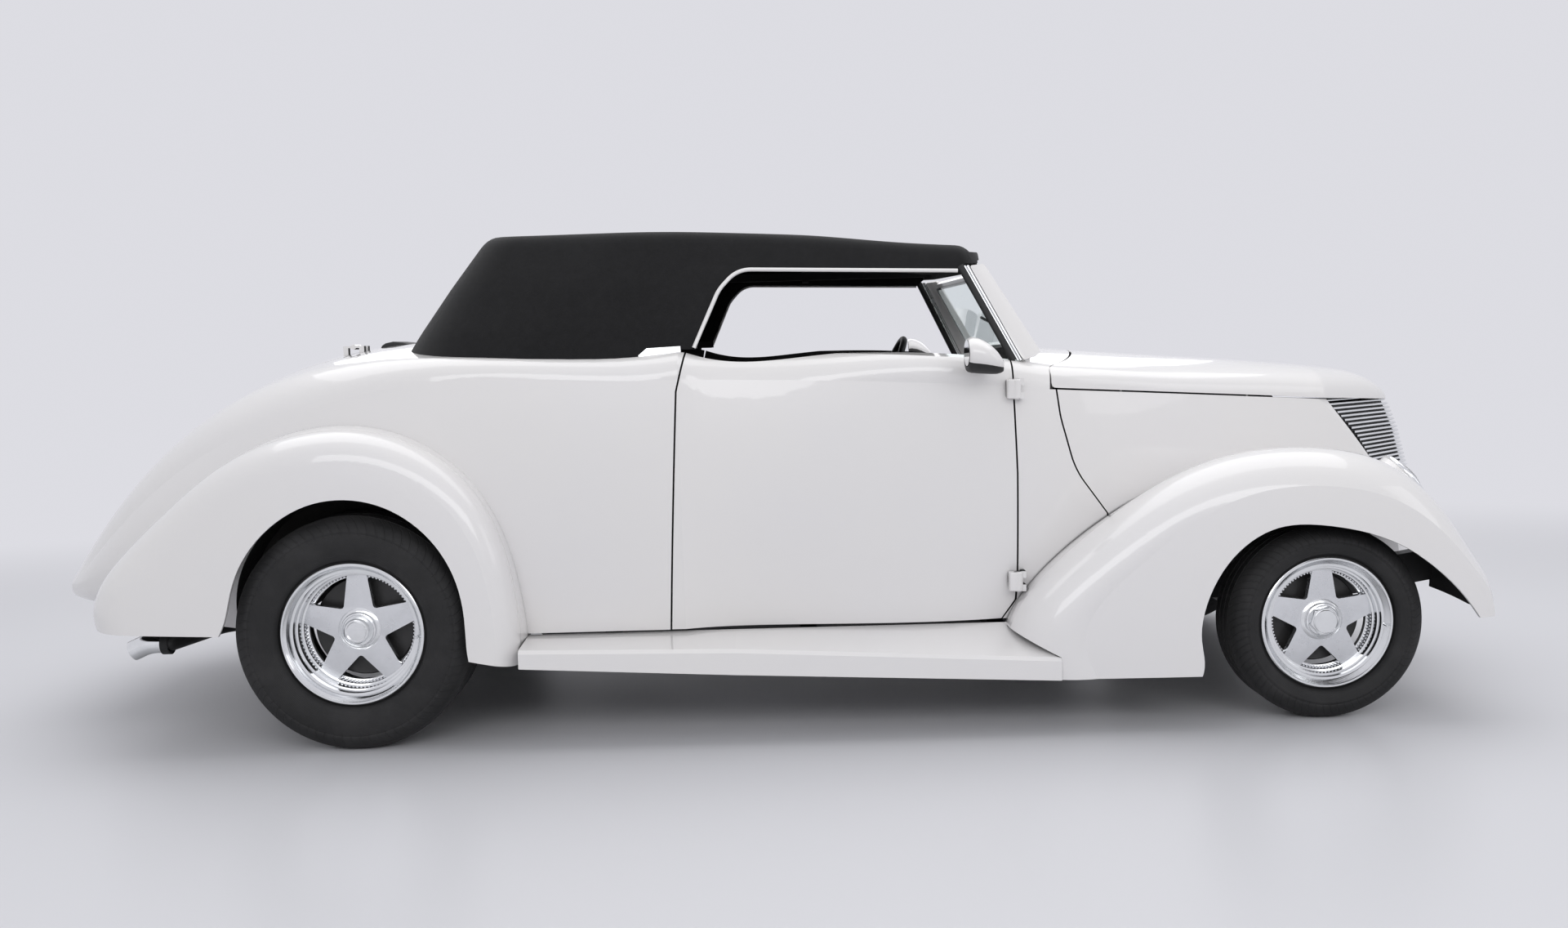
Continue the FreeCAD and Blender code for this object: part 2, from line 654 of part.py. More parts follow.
HEADLIGHT_Y = 600.0
HEADLIGHT_Z = 668.0
HEADLIGHT_X = 3200.0
HEADLIGHT_RADIUS = 88.0


def headlight_parts():
    # A teardrop bucket with a bezel and a domed lens, revolved about its own axis.
    r = HEADLIGHT_RADIUS
    x = HEADLIGHT_X
    profile = [vec(x - 240.0, 0, 0), vec(x - 190.0, 0, 50.0), vec(x - 90.0, 0, 80.0), vec(x, 0, r), vec(x, 0, 0)]
    edges = [arc(profile[0], profile[1], profile[2]), seg(profile[2], profile[3]), seg(profile[3], profile[4]),
             seg(profile[4], profile[0])]
    bucket = Part.Face(Part.Wire(edges)).revolve(vec(0, 0, 0), vec(1, 0, 0), 360)
    bezel = rod(vec(x, 0, 0), vec(1, 0, 0), r, 16.0).cut(rod(vec(x + 5.0, 0, 0), vec(1, 0, 0), r - 10.0, 16.0))
    edge = r - 10.0
    rise = 27.0
    ball = (edge * edge + rise * rise) / (2.0 * rise)
    lens = Part.makeSphere(ball, vec(x + 5.0 + rise - ball, 0, 0))
    lens = lens.common(box(x + 5.0, x + 60.0, -200.0, 200.0, -200.0, 200.0))
    shift = vec(0, -HEADLIGHT_Y, HEADLIGHT_Z)
    shell = bucket.fuse(bezel)
    shell.translate(shift)
    lens.translate(shift)
    return biggest(shell), lens


headlight, headlight_lens = headlight_parts()
front_fender = fender_loft(FRONT_FENDER, WHEELBASE, FRONT_AXLE_Z)
front_fender = front_fender.cut(OUTER).cut(headlight)
front_fender = front_fender.cut(box(1500.0, 3500.0, 0, -1000, 0, 160.0))
front_fender = front_fender.cut(side_prism([(1500.0, 100.0), (BOARD_FRONT, 100.0), (BOARD_FRONT, 226.0),
                                            (1904.0, 297.0), (1500.0, 297.0)], 0, -1000))
front_fender = front_fender.cut(board)
front_fender = front_fender.cut(headlight_lens)
front_fender = biggest(front_fender)

# ---------------------------------------------------------------- windscreen, glass, top
# Each half of the V screen lies in one plane through these corners.
SCREEN_FOOT_MID = vec(2112.0, 0.0, 1118.0)
SCREEN_FOOT_OUT = vec(2022.0, -585.0, 1104.0)
SCREEN_TOP_MID = vec(1957.0, 0.0, 1372.0)


def screen_axes():
    across = (SCREEN_FOOT_OUT - SCREEN_FOOT_MID).normalize()
    up = SCREEN_TOP_MID - SCREEN_FOOT_MID
    normal = up.cross(across).normalize()
    if normal.x < 0:
        normal = normal * -1.0
    up_plane = up.normalize()
    return across, up_plane, normal


def screen_corners(inset_side, inset_end):
    across, up, normal = screen_axes()
    run = (SCREEN_FOOT_OUT - SCREEN_FOOT_MID).Length
    height = (SCREEN_TOP_MID - SCREEN_FOOT_MID).Length
    lean = 50.0
    foot_mid = SCREEN_FOOT_MID + across * inset_side + up * inset_end
    foot_out = SCREEN_FOOT_MID + across * (run - inset_side) + up * inset_end
    top_out = SCREEN_FOOT_MID + across * (run - lean - inset_side) + up * (height - inset_end)
    top_mid = SCREEN_FOOT_MID + across * inset_side + up * (height - inset_end)
    return [foot_mid, foot_out, top_out, top_mid]


def screen_plate(inset_side, inset_end, low, high, radius):
    across, up, normal = screen_axes()
    points = [p + normal * low for p in screen_corners(inset_side, inset_end)]
    wire = outline(points, [radius * 0.5, radius, radius, radius * 0.5])
    return Part.Face(wire).extrude(normal * (high - low))


frame_half = screen_plate(0.0, 0.0, -14.0, 8.0, 24.0).cut(screen_plate(SCREEN_FRAME, 22.0, -30.0, 30.0, 18.0))
pane = screen_plate(SCREEN_FRAME - 8.0, 14.0, -14.0 - GLASS, -14.0, 14.0)
mid_cut = box(1800.0, 2300.0, 0.0, 200.0, 1000.0, 1500.0)
frame_half = frame_half.cut(mid_cut)
pane = pane.cut(box(1800.0, 2300.0, -3.0, 200.0, 1000.0, 1500.0))
windshield_frame = frame_half.fuse(mirrored(frame_half))
windshield_frame = biggest(windshield_frame.cut(OUTER))
windshield_glass = Part.makeCompound([pane.cut(OUTER), mirrored(pane.cut(OUTER))])

# Top: plan sections from the belt to the roof's edge. Columns: z, rear x, side x where it
# reaches full width, half width, corner radius, front x at the side, front x at the middle.
TOP_COLUMNS = ("z", "rear", "half", "half_front", "radius", "front", "point")
TOP_ROWS = (
    (1060.0, 44.0, 702.0, 668.0, 300.0, 2050.0, 2150.0),
    (1200.0, 142.0, 674.0, 630.0, 230.0, 1985.0, 2075.0),
    (1340.0, 245.0, 628.0, 580.0, 170.0, 1915.0, 1998.0),
    (1540.0, 392.0, 545.0, 500.0, 120.0, 1812.0, 1890.0),
)
ROOF_COLUMNS = ("x", "edge", "crown")
ROOF_ROWS = ((-100.0, 1450.0, 1490.0), (380.0, 1462.0, 1511.0), (900.0, 1466.0, OVERALL_HEIGHT),
             (1300.0, 1446.0, 1499.0), (1700.0, 1408.0, 1463.0), (2200.0, 1370.0, 1426.0))


def top_wire(row, inset):
    z = row["z"]
    rear = row["rear"] + inset
    front = row["front"] - inset
    point = row["point"] - inset
    half = row["half"] - inset
    half_front = row["half_front"] - inset
    radius = max(row["radius"] - inset, 20.0)
    points = [vec(rear, -half * 0.93, z), vec(rear + 420.0, -half, z), vec(front, -half_front, z),
              vec(point, 0, z), vec(front, half_front, z), vec(rear + 420.0, half, z), vec(rear, half * 0.93, z)]
    return outline(points, [radius, 0, 30.0, 0, 30.0, 0, radius])


def top_solid(inset):
    sides = Part.makeLoft([top_wire(dict(zip(TOP_COLUMNS, r)), inset) for r in TOP_ROWS], True, True)
    wires = []
    for row in ROOF_ROWS:
        data = dict(zip(ROOF_COLUMNS, row))
        x = data["x"]
        edge = data["edge"] - inset
        crown = data["crown"] - inset
        edges = [seg(vec(x, -800, 1000), vec(x, 800, 1000)), seg(vec(x, 800, 1000), vec(x, 800, edge)),
                 arc(vec(x, 800, edge), vec(x, 0, crown), vec(x, -800, edge)),
                 seg(vec(x, -800, edge), vec(x, -800, 1000))]
        wires.append(Part.Wire(edges))
    roof = Part.makeLoft(wires, True, False)
    return biggest(sides.common(roof))


WINDOW_EDGE = ((1002.0, 1040.0), (1002.0, 1140.0), (1078.0, 1310.0), (1135.0, 1371.0), (1800.0, 1352.0),
               (1826.0, 1374.0), (2300.0, 1374.0), (2300.0, 1040.0))
WINDOW_RADII = (0, 60.0, 120.0, 90.0, 0, 0, 0, 0)


def window_prism(grow):
    pairs = []
    shifts = ((-1, -1), (-1, 0), (-0.9, 0.4), (-0.4, 0.95), (0, 1), (0, 1), (1, 1), (1, -1))
    for (x, z), (sx, sz) in zip(WINDOW_EDGE, shifts):
        pairs.append((x + sx * grow, z + sz * grow))
    return side_prism(pairs, -900.0, 900.0, WINDOW_RADII)


print("top")
TOP_OUT = top_solid(0.0)
TOP_IN = top_solid(CLOTH)
QUARTER_PLATE = ((838.0, 1060.0), (838.0, 1122.0), (862.0, 1142.0), (962.0, 1146.0), (962.0, 1060.0))
DOOR_HEAD_GAP = 8.0
DOOR_HEAD = box(962.0, 1100.0, -900, 900, 1000.0, 1129.0 + DOOR_HEAD_GAP)
soft_top = TOP_OUT.cut(TOP_IN).cut(window_prism(0.0)).cut(OUTER)
quarter_space = side_prism(QUARTER_PLATE, -900.0, 900.0)
soft_top = soft_top.cut(quarter_space).cut(DOOR_HEAD)
soft_top = soft_top.cut(windshield_frame)
soft_top = biggest(soft_top)
quarter = TOP_OUT.cut(top_solid(CLOTH - 2.0)).common(side_prism(QUARTER_PLATE, -900.0, 0.0))
quarter = quarter.cut(window_prism(0.0)).cut(OUTER)
quarter = biggest(quarter)
quarter_trims = Part.makeCompound([quarter, mirrored(quarter)])

bow_skin = top_solid(CLOTH + SEAT_GAP).cut(top_solid(CLOTH + BOW)).cut(OUTER)
bow_skin = bow_skin.cut(windshield_frame).cut(windshield_glass)
# Roof side rail, base rail, the bows across the roof, and the band round each side window.
WINDOW_HEAD = 1375.0
BOW_PLACES = ((400.0, 430.0, 1000.0), (860.0, 885.0, 1000.0), (1360.0, 1385.0, WINDOW_HEAD),
              (1825.0, 1865.0, WINDOW_HEAD))
masks = [bow_skin.common(box(380.0, 1870.0, -900, 900, 1384.0, 1412.0)),
         bow_skin.common(box(250.0, 1010.0, -900, 900, 1100.0, 1160.0))]
for x0, x1, z0 in BOW_PLACES:
    masks.append(bow_skin.common(box(x0, x1, -900, 900, z0, 1600)))
window_band = window_prism(22.0).cut(window_prism(-38.0))
window_band = window_band.common(box(900.0, 1900.0, -900, 900, 1000, 1600))
masks.append(bow_skin.common(window_band))
top_frame = biggest(masks[0].multiFuse(masks[1:]).cut(DOOR_HEAD))

# ---------------------------------------------------------------- wheels
def rim_shape(x, z, lip, width, flange, spindle_reach):
    # Revolved stepped barrel, star spokes, hub and cap; drawn on the right side.
    bead = flange - BEAD_STEP
    rows = ((0, flange), (7, flange), (13, bead), (width - 13, bead), (width - 7, flange), (width, flange),
            (width, flange - 7), (width - 18, bead - 9), (112, bead - 9), (98, bead - 34), (66, bead - 34),
            (62, bead - 21), (40, bead - 18), (36, bead - 10), (14, bead - 7), (6, flange - 12), (0, flange - 7))
    points = [vec(0, -lip + d, r) for d, r in rows]
    barrel = Part.Face(outline(points)).revolve(vec(0, 0, 0), vec(0, 1, 0), 360)
    hub = rod(vec(0, -lip + 58.0, 0), vec(0, 1, 0), HUB_RADIUS, 52.0)
    cap = Part.makeCone(CAP_RADIUS * 0.86, CAP_RADIUS, 26.0, vec(0, -lip + 34.0, 0), vec(0, 1, 0))
    rotor = rod(vec(0, -lip + 110.0, 0), vec(0, 1, 0), 78.0, 26.0)
    rotor = rotor.fuse(rod(vec(0, -lip + 122.0, 0), vec(0, 1, 0), min(ROTOR_RADIUS, bead - 24.0), 18.0))
    spokes = []
    for k in range(SPOKES):
        inner = [vec(-36.0, -lip + 62.0, 40.0), vec(36.0, -lip + 62.0, 40.0),
                 vec(34.0, -lip + 104.0, 40.0), vec(-34.0, -lip + 104.0, 40.0)]
        reach = bead - 28.0
        outer = [vec(-17.0, -lip + 72.0, reach), vec(17.0, -lip + 72.0, reach),
                 vec(24.0, -lip + 96.0, reach), vec(-24.0, -lip + 96.0, reach)]
        ends = [Part.makePolygon(inner + [inner[0]]), Part.makePolygon(outer + [outer[0]])]
        spoke = Part.makeLoft(ends, True, True)
        spoke.rotate(vec(0, 0, 0), vec(0, 1, 0), k * 360.0 / SPOKES)
        spokes.append(spoke)
    shape = barrel.multiFuse([hub, cap, rotor] + spokes)
    bore = rod(vec(0, -lip + 66.0, 0), vec(0, 1, 0), SPINDLE_RADIUS + FIT, 200.0)
    shape = biggest(shape.cut(bore))
    shape.translate(vec(x, 0, z))
    return shape


def tyre_shape(x, z, out, inner, radius, lip, width, flange):
    # A closed carcass seated on the rim's bead seat.
    bead = flange - BEAD_STEP
    seat_out = lip - 13.0
    seat_in = lip - width + 13.0
    shoulder = 34.0
    bulge = radius - (radius - flange) * 0.42
    points = [vec(0, -seat_out, bead), vec(0, -(seat_out + 1.5), flange + 6.0), vec(0, -out, bulge),
              vec(0, -(out - 6.0), radius - shoulder), vec(0, -(out - shoulder), radius),
              vec(0, -(inner + shoulder), radius), vec(0, -(inner + 6.0), radius - shoulder),
              vec(0, -inner, bulge), vec(0, -(seat_in - 1.5), flange + 6.0), vec(0, -seat_in, bead)]
    wire = outline(points, [0, 0, 30.0, 26.0, 22.0, 22.0, 26.0, 30.0, 0, 0])
    shape = Part.Face(wire).revolve(vec(0, 0, 0), vec(0, 1, 0), 360)
    shape.translate(vec(x, 0, z))
    return shape


print("wheels")
rear_rim = rim_shape(0.0, REAR_AXLE_Z, REAR_RIM_LIP, REAR_RIM_WIDTH, REAR_FLANGE_RADIUS, 0.0)
front_rim = rim_shape(WHEELBASE, FRONT_AXLE_Z, FRONT_RIM_LIP, FRONT_RIM_WIDTH, FRONT_FLANGE_RADIUS, 0.0)
rear_tyre = tyre_shape(0.0, REAR_AXLE_Z, REAR_TYRE_OUT, REAR_TYRE_IN, REAR_TYRE_RADIUS, REAR_RIM_LIP,
                       REAR_RIM_WIDTH, REAR_FLANGE_RADIUS)
front_tyre = tyre_shape(WHEELBASE, FRONT_AXLE_Z, FRONT_TYRE_OUT, FRONT_TYRE_IN, FRONT_TYRE_RADIUS,
                        FRONT_RIM_LIP, FRONT_RIM_WIDTH, FRONT_FLANGE_RADIUS)
rear_tyre = rear_tyre.cut(rear_rim)
front_tyre = front_tyre.cut(front_rim)

# ---------------------------------------------------------------- frame and running gear
RAIL_OUT = RAIL_IN + RAIL_WIDTH
RAIL_TOP = BODY_BOTTOM
RAIL_LINE = ((-860.0, 490.0), (300.0, 490.0), (520.0, RAIL_TOP), (2380.0, RAIL_TOP),
             (2600.0, 400.0), (3080.0, 400.0), (3330.0, 440.0))


def rail_shape():
    upper = [(x, z) for x, z in RAIL_LINE]
    lower = [(x, z - RAIL_DEPTH) for x, z in RAIL_LINE]
    pairs = upper + list(reversed(lower))
    turn = 60.0
    radii = [0] + [turn] * (len(RAIL_LINE) - 2) + [0]
    return side_prism(pairs, -RAIL_OUT, -RAIL_IN, radii + list(reversed(radii)))


rail = rail_shape()
rails = Part.makeCompound([rail, mirrored(rail)])
cross = [
    box(WHEELBASE - 80.0, WHEELBASE + 80.0, -RAIL_IN, RAIL_IN, 215.0, 300.0),
    box(1480.0, 1540.0, -RAIL_IN, RAIL_IN, RAIL_TOP - 90.0, RAIL_TOP - 30.0),
    box(560.0, 620.0, -RAIL_IN, RAIL_IN, RAIL_TOP - 90.0, RAIL_TOP - 30.0),
    box(-855.0, -805.0, -RAIL_IN, RAIL_IN, 400.0, 480.0),
    box(3140.0, 3190.0, -RAIL_IN, RAIL_IN, 320.0, 400.0),
]
tower = box(WHEELBASE - 80.0, WHEELBASE + 80.0, -RAIL_OUT, -RAIL_IN, 215.0, 300.0)
tower = tower.fuse(box(WHEELBASE - 80.0, WHEELBASE + 80.0, -RAIL_OUT - 30.0, -RAIL_OUT, 215.0, 440.0))
cross[0] = cross[0].multiFuse([tower, mirrored(tower)])
for x in (700.0, 1300.0, 1880.0):
    arm = box(x, x + 50.0, -BOARD_INNER_Y, -RAIL_OUT, 230.0, 272.0)
    cross.append(arm)
    cross.append(mirrored(arm))
cross[0] = cross[0].cut(rails)
crossmembers = Part.makeCompound(cross)

AXLE_END = REAR_RIM_LIP - 70.0
axle = rod(vec(0, -AXLE_END, REAR_AXLE_Z), vec(0, 1, 0), SPINDLE_RADIUS, 2.0 * AXLE_END)
axle = axle.fuse(rod(vec(0, -560.0, REAR_AXLE_Z), vec(0, 1, 0), AXLE_TUBE_RADIUS, 1120.0))
axle = axle.fuse(rod(vec(0, -575.0, REAR_AXLE_Z), vec(0, 1, 0), 62.0, 30.0))
axle = axle.fuse(rod(vec(0, 545.0, REAR_AXLE_Z), vec(0, 1, 0), 62.0, 30.0))
pumpkin = Part.makeSphere(118.0, vec(0, 0, REAR_AXLE_Z))
pumpkin = pumpkin.fuse(Part.makeCone(80.0, 50.0, 130.0, vec(70.0, 0, REAR_AXLE_Z), vec(1, 0, 0)))
axle = axle.fuse(pumpkin)
rear_axle = biggest(axle)

SPRING_Y = RAIL_IN + RAIL_WIDTH / 2.0


def leaf_spring():
    # Rear leaf spring with its hangers and axle pad, right side.
    y0 = -SPRING_Y - SPRING_WIDTH / 2.0
    y1 = -SPRING_Y + SPRING_WIDTH / 2.0
    t = SPRING_THICK
    top = (vec(600.0, y0, 190.0), vec(0, y0, REAR_AXLE_Z - AXLE_TUBE_RADIUS - 14.0), vec(-520.0, y0, 345.0))
    low = [p - vec(0, 0, t) for p in top]
    edges = [arc(*top), seg(top[2], low[2]), arc(low[2], low[1], low[0]), seg(low[0], top[0])]
    leaf = Part.Face(Part.Wire(edges)).extrude(vec(0, SPRING_WIDTH, 0))
    hanger = box(570.0, 600.0, y0, y1, 160.0, RAIL_TOP - RAIL_DEPTH)
    shackle = box(-520.0, -498.0, y0, y1, 330.0, 390.0)
    pad = box(-45.0, 45.0, y0, y1, REAR_AXLE_Z - 75.0, REAR_AXLE_Z)
    pad = pad.cut(rod(vec(0, -700, REAR_AXLE_Z), vec(0, 1, 0), AXLE_TUBE_RADIUS, 700.0))
    shape = leaf.multiFuse([hanger, shackle, pad])
    return biggest(shape.cut(rail))


spring = leaf_spring()


def arm_shape(z, thick, inner_half, inner_y):
    # A-shaped control arm from the crossmember to its ball joint, right side.
    tip = KINGPIN_Y
    pairs = [(WHEELBASE - inner_half, -inner_y), (WHEELBASE + inner_half, -inner_y), (WHEELBASE + 22.0, -tip),
             (WHEELBASE - 22.0, -tip)]
    arm = plan_prism(pairs, z, z + thick)
    hole = [(WHEELBASE - inner_half * 0.5, -inner_y - 24.0), (WHEELBASE + inner_half * 0.5, -inner_y - 24.0),
            (WHEELBASE, -tip + 62.0)]
    arm = arm.cut(plan_prism(hole, z - 5.0, z + thick + 5.0))
    arm = arm.fuse(rod(vec(WHEELBASE, -tip, z), vec(0, 0, 1), 25.0, thick))
    return arm.cut(rod(vec(WHEELBASE, -tip, z - 10.0), vec(0, 0, 1), KINGPIN_RADIUS + FIT, thick + 20.0))


ARM_THICK = 24.0
ARM_Y = RAIL_OUT + 30.0
lower_arm = arm_shape(KNUCKLE_LOW - 0.5 - ARM_THICK + 30.0, ARM_THICK, 78.0, ARM_Y)
upper_arm = arm_shape(KNUCKLE_HIGH + 0.5, ARM_THICK, 60.0, ARM_Y)
suspension = Part.makeCompound([spring, mirrored(spring), lower_arm, mirrored(lower_arm), upper_arm,
                                mirrored(upper_arm)])


def knuckle_shape():
    # Upright with kingpins, spindle and steering arm, right side.
    low = KNUCKLE_LOW + 30.0
    post = box(WHEELBASE - 20.0, WHEELBASE + 20.0, -KINGPIN_Y - 16.0, -KINGPIN_Y + 16.0, low, KNUCKLE_HIGH)
    pin = rod(vec(WHEELBASE, -KINGPIN_Y, low - 24.0), vec(0, 0, 1), KINGPIN_RADIUS, 24.0)
    pin_up = rod(vec(WHEELBASE, -KINGPIN_Y, KNUCKLE_HIGH), vec(0, 0, 1), KINGPIN_RADIUS, 24.0)
    spindle_end = FRONT_RIM_LIP - 70.0
    spindle = rod(vec(WHEELBASE, -KINGPIN_Y, FRONT_AXLE_Z), vec(0, -1, 0), SPINDLE_RADIUS, spindle_end - KINGPIN_Y)
    steer = box(WHEELBASE - 130.0, WHEELBASE, -KINGPIN_Y - 10.0, -KINGPIN_Y + 14.0, 236.0, 256.0)
    return biggest(post.multiFuse([pin, pin_up, spindle, steer]))


knuckle = knuckle_shape()
engine = box(2270.0, 2750.0, -250.0, 250.0, 420.0, 800.0)
engine = engine.fuse(box(2230.0, WHEELBASE + 60.0, -120.0, 120.0, 300.0, 420.0))
engine = engine.fuse(box(2300.0, 2700.0, -160.0, 160.0, 800.0, 930.0))
engine = biggest(engine.fuse(box(1560.0, 2270.0, -110.0, 110.0, 232.0, 300.0)))
engine = engine.cut(crossmembers)

EXHAUST_RADIUS = 28.0
EXHAUST_Y = 300.0


def exhaust_pipe():
    points = [vec(2180.0, -EXHAUST_Y, 175.0), vec(300.0, -EXHAUST_Y, 175.0), vec(130.0, -EXHAUST_Y, 425.0),
              vec(-190.0, -EXHAUST_Y, 425.0), vec(-400.0, -EXHAUST_Y, 285.0), vec(-560.0, -EXHAUST_Y, 285.0),
              vec(-640.0, -600.0, 285.0), vec(-745.0, -600.0, 285.0)]
    radii = [0, 120.0, 100.0, 100.0, 100.0, 70.0, 50.0, 0]
    pipe = tube_path(points, radii, EXHAUST_RADIUS)
    tip = Part.makeCone(33.0, 38.0, 130.0, vec(-620.0, -600.0, 285.0), vec(-1, 0, 0))
    tip = tip.cut(rod(vec(-700.0, -600.0, 285.0), vec(-1, 0, 0), 30.0, 60.0))
    muffler = rod(vec(1350.0, -EXHAUST_Y, 175.0), vec(-1, 0, 0), 58.0, 420.0)
    return pipe, tip, muffler


pipe, tip, muffler = exhaust_pipe()
print("pipe valid", pipe.isValid(), pipe.Volume)
exhaust_one = pipe.multiFuse([muffler])
hangers = [box(x, x + 20.0, -EXHAUST_Y - 12.0, -EXHAUST_Y + 12.0, 175.0, z)
           for x, z in ((1500.0, RAIL_TOP - 90.0), (580.0, RAIL_TOP - 90.0))]
exhaust_one = biggest(exhaust_one.multiFuse(hangers + [tip]))
exhaust = Part.makeCompound([exhaust_one, mirrored(exhaust_one)])
fuel_tank = box(-780.0, -480.0, -250.0, 250.0, 330.0, TRUNK_FLOOR_Z)

# ---------------------------------------------------------------- floor, firewall and inner tubs
print("floor")
inner_tight = INNER_BODY
inner_door = body_solid(BODY_WALL + SWING_GAP, -REAR_OVERHANG + BODY_WALL + 20.0, 80.0)
front_floor = inner_door.common(box(640.0, 2170.0, -900, 900, BODY_BOTTOM, BODY_BOTTOM + FLOOR_THICK))
kick = inner_tight.common(box(1965.0, 2170.0, -900, 900, BODY_BOTTOM, BODY_BOTTOM + FLOOR_THICK))
heel = inner_tight.common(box(640.0, 898.0, -900, 900, BODY_BOTTOM, BODY_BOTTOM + FLOOR_THICK))
firewall = inner_tight.common(box(2160.0, 2170.0, -900, 900, BODY_BOTTOM, 1000.0))
firewall = firewall.common(behind_cowl_seam(-2.0, 250.0))
bulkhead = inner_tight.common(box(640.0, 650.0, -900, 900, BODY_BOTTOM, TRUNK_FLOOR_Z + FLOOR_THICK))
trunk_floor = inner_tight.common(box(-960.0, 650.0, -900, 900, TRUNK_FLOOR_Z, TRUNK_FLOOR_Z + FLOOR_THICK))
tub_outer = rod(vec(0, -800.0, REAR_AXLE_Z), vec(0, 1, 0), ARCH_RADIUS, 800.0 - ARCH_INNER_Y)
tub = rod(vec(0, -800.0, REAR_AXLE_Z), vec(0, 1, 0), ARCH_RADIUS + 6.0, 800.0 - ARCH_INNER_Y + 6.0)
tub = tub.cut(tub_outer).common(box(-500, 500, -900, 0, REAR_AXLE_Z + 90.0, 900.0)).common(inner_tight)
trunk_floor = trunk_floor.cut(arches)
floor_pan = front_floor.multiFuse([kick, heel, firewall, bulkhead, trunk_floor, tub, mirrored(tub)])
floor_pan = biggest(floor_pan)

# ---------------------------------------------------------------- cabin fittings
cushion_pairs = ((880.0, BODY_BOTTOM + FLOOR_THICK + 60.0), (860.0, 560.0), (1360.0, 590.0), (1375.0, 430.0),
                 (1340.0, BODY_BOTTOM + FLOOR_THICK + 60.0))
seat_cushion = side_prism(cushion_pairs, -SEAT_HALF, SEAT_HALF, [20, 30, 60, 30, 20])
back_pairs = ((700.0, 562.5), (640.0, 1020.0), (700.0, 1060.0), (770.0, 1030.0), (858.0, 562.5))
seat_back = side_prism(back_pairs, -SEAT_HALF, SEAT_HALF, [10, 30, 30, 50, 10])
seat_base = box(700.0, 1320.0, -560.0, 560.0, BODY_BOTTOM + FLOOR_THICK, BODY_BOTTOM + FLOOR_THICK + 60.0)
seat_riser = box(700.0, 855.0, -560.0, 560.0, BODY_BOTTOM + FLOOR_THICK + 60.0, 562.0)
seat_base = seat_base.fuse(seat_riser)
floor_pan = biggest(floor_pan.fuse(seat_base.cut(floor_pan)))

STEER_Y = 350.0
dash_pairs = ((1880.0, 1090.0), (1850.0, 1040.0), (1862.0, 930.0), (1960.0, 880.0), (2060.0, 880.0),
              (2060.0, 1050.0))
dash = side_prism(dash_pairs, -640.0, 640.0, [24, 20, 10, 0, 0, 10])
dash = dash.common(body_solid(BODY_WALL + 2.0 * SWING_GAP, 800.0, 80.0))
dash_ends = side_prism([(1962.0, 880.0), (2060.0, 880.0), (2060.0, 1050.0), (1962.0, 1060.0)], -700.0, 700.0)
drop = box(1900.0, 1930.0, STEER_Y - 20.0, STEER_Y + 20.0, 850.0, 940.0)
dash = dash.multiFuse([dash_ends.common(inner_tight), drop])
dashboard = biggest(dash.cut(cowl))

STEER_CENTRE = vec(1650.0, STEER_Y, 985.0)
STEER_TILT = 24.0
STEER_RADIUS = 180.0


def steering_wheel():
    ring = Part.makeTorus(STEER_RADIUS, 12.0)
    hub = rod(vec(0, 0, -34.0), vec(0, 0, 1), 34.0, 40.0)
    parts = [hub]
    for k in range(3):
        spoke = box(-10.0, 10.0, 0.0, STEER_RADIUS, -18.0, -10.0)
        spoke.rotate(vec(0, 0, 0), vec(0, 0, 1), 60.0 + 120.0 * k)
        parts.append(spoke)
    parts.append(rod(vec(0, 0, -12.0), vec(0, 0, 1), 8.0, 4.0))
    shape = ring.multiFuse(parts)
    column = rod(vec(0, 0, -560.0), vec(0, 0, 1), 24.0, 530.0)
    shape = shape.fuse(column)
    turn = Rotation(vec(0, 1, 0), -(90.0 - STEER_TILT))
    shape.Placement = Placement(STEER_CENTRE, turn)
    return shape


steering = steering_wheel()
steering = biggest(steering.cut(dashboard).cut(floor_pan))

# ---------------------------------------------------------------- lamps, mirrors, wipers
tail_lamp = rod(vec(-640.0, -790.0, 540.0), vec(-1, 0, 0.35), 46.0, 76.0)
tail_lamp = tail_lamp.cut(rear_fender)
tail_lamp = biggest(tail_lamp)
pod = side_prism([(-83.0, 1140.0), (-83.0, 1178.0), (-40.0, 1186.0), (23.0, 1172.0), (23.0, 1140.0)], -95.0, 95.0,
                 [0, 8, 30, 8, 0])
brake_pod = biggest(pod.cut(OUTER))
rear_lamps = Part.makeCompound([tail_lamp, mirrored(tail_lamp), brake_pod])


# Mirror head sections along the car. Columns: x, middle z, half height, half width.
MIRROR_Y = 838.0
MIRROR_ROWS = ((1786.0, 1106.0, 42.0, 60.0), (1800.0, 1106.0, 46.0, 64.0), (1838.0, 1098.0, 41.0, 60.0),
               (1872.0, 1083.0, 27.0, 44.0), (1893.0, 1071.0, 8.0, 16.0))
MIRROR_BASE_DROP = 15.0
MIRROR_BASE_IN = 9.0


def mirror_head(drop, inward, shrink):
    # Flat-backed teardrop lofted through upright ovals.
    wires = []
    for x, z, tall, wide in MIRROR_ROWS:
        centre = vec(x, -MIRROR_Y + inward, z - drop)
        oval = Part.Ellipse(centre + vec(0, wide - shrink, 0), centre + vec(0, 0, tall), centre)
        wires.append(Part.Wire(oval.toShape()))
    return Part.makeLoft(wires, True, False)


def mirror_shape():
    # Painted head over a darker base whose foot stands on the door's outer skin, right side.
    skin_y = half_width(1840.0, 1060.0)
    head = mirror_head(0.0, 0.0, 0.0)
    base = mirror_head(MIRROR_BASE_DROP, MIRROR_BASE_IN, 4.0)
    foot = box(1815.0, 1885.0, -skin_y - 60.0, -skin_y + 40.0, 1040.0, 1062.0)
    neck = box(1825.0, 1870.0, -MIRROR_Y + 10.0, -skin_y, 1050.0, 1072.0)
    shape = head.multiFuse([base, foot, neck])
    return biggest(shape.cut(OUTER))


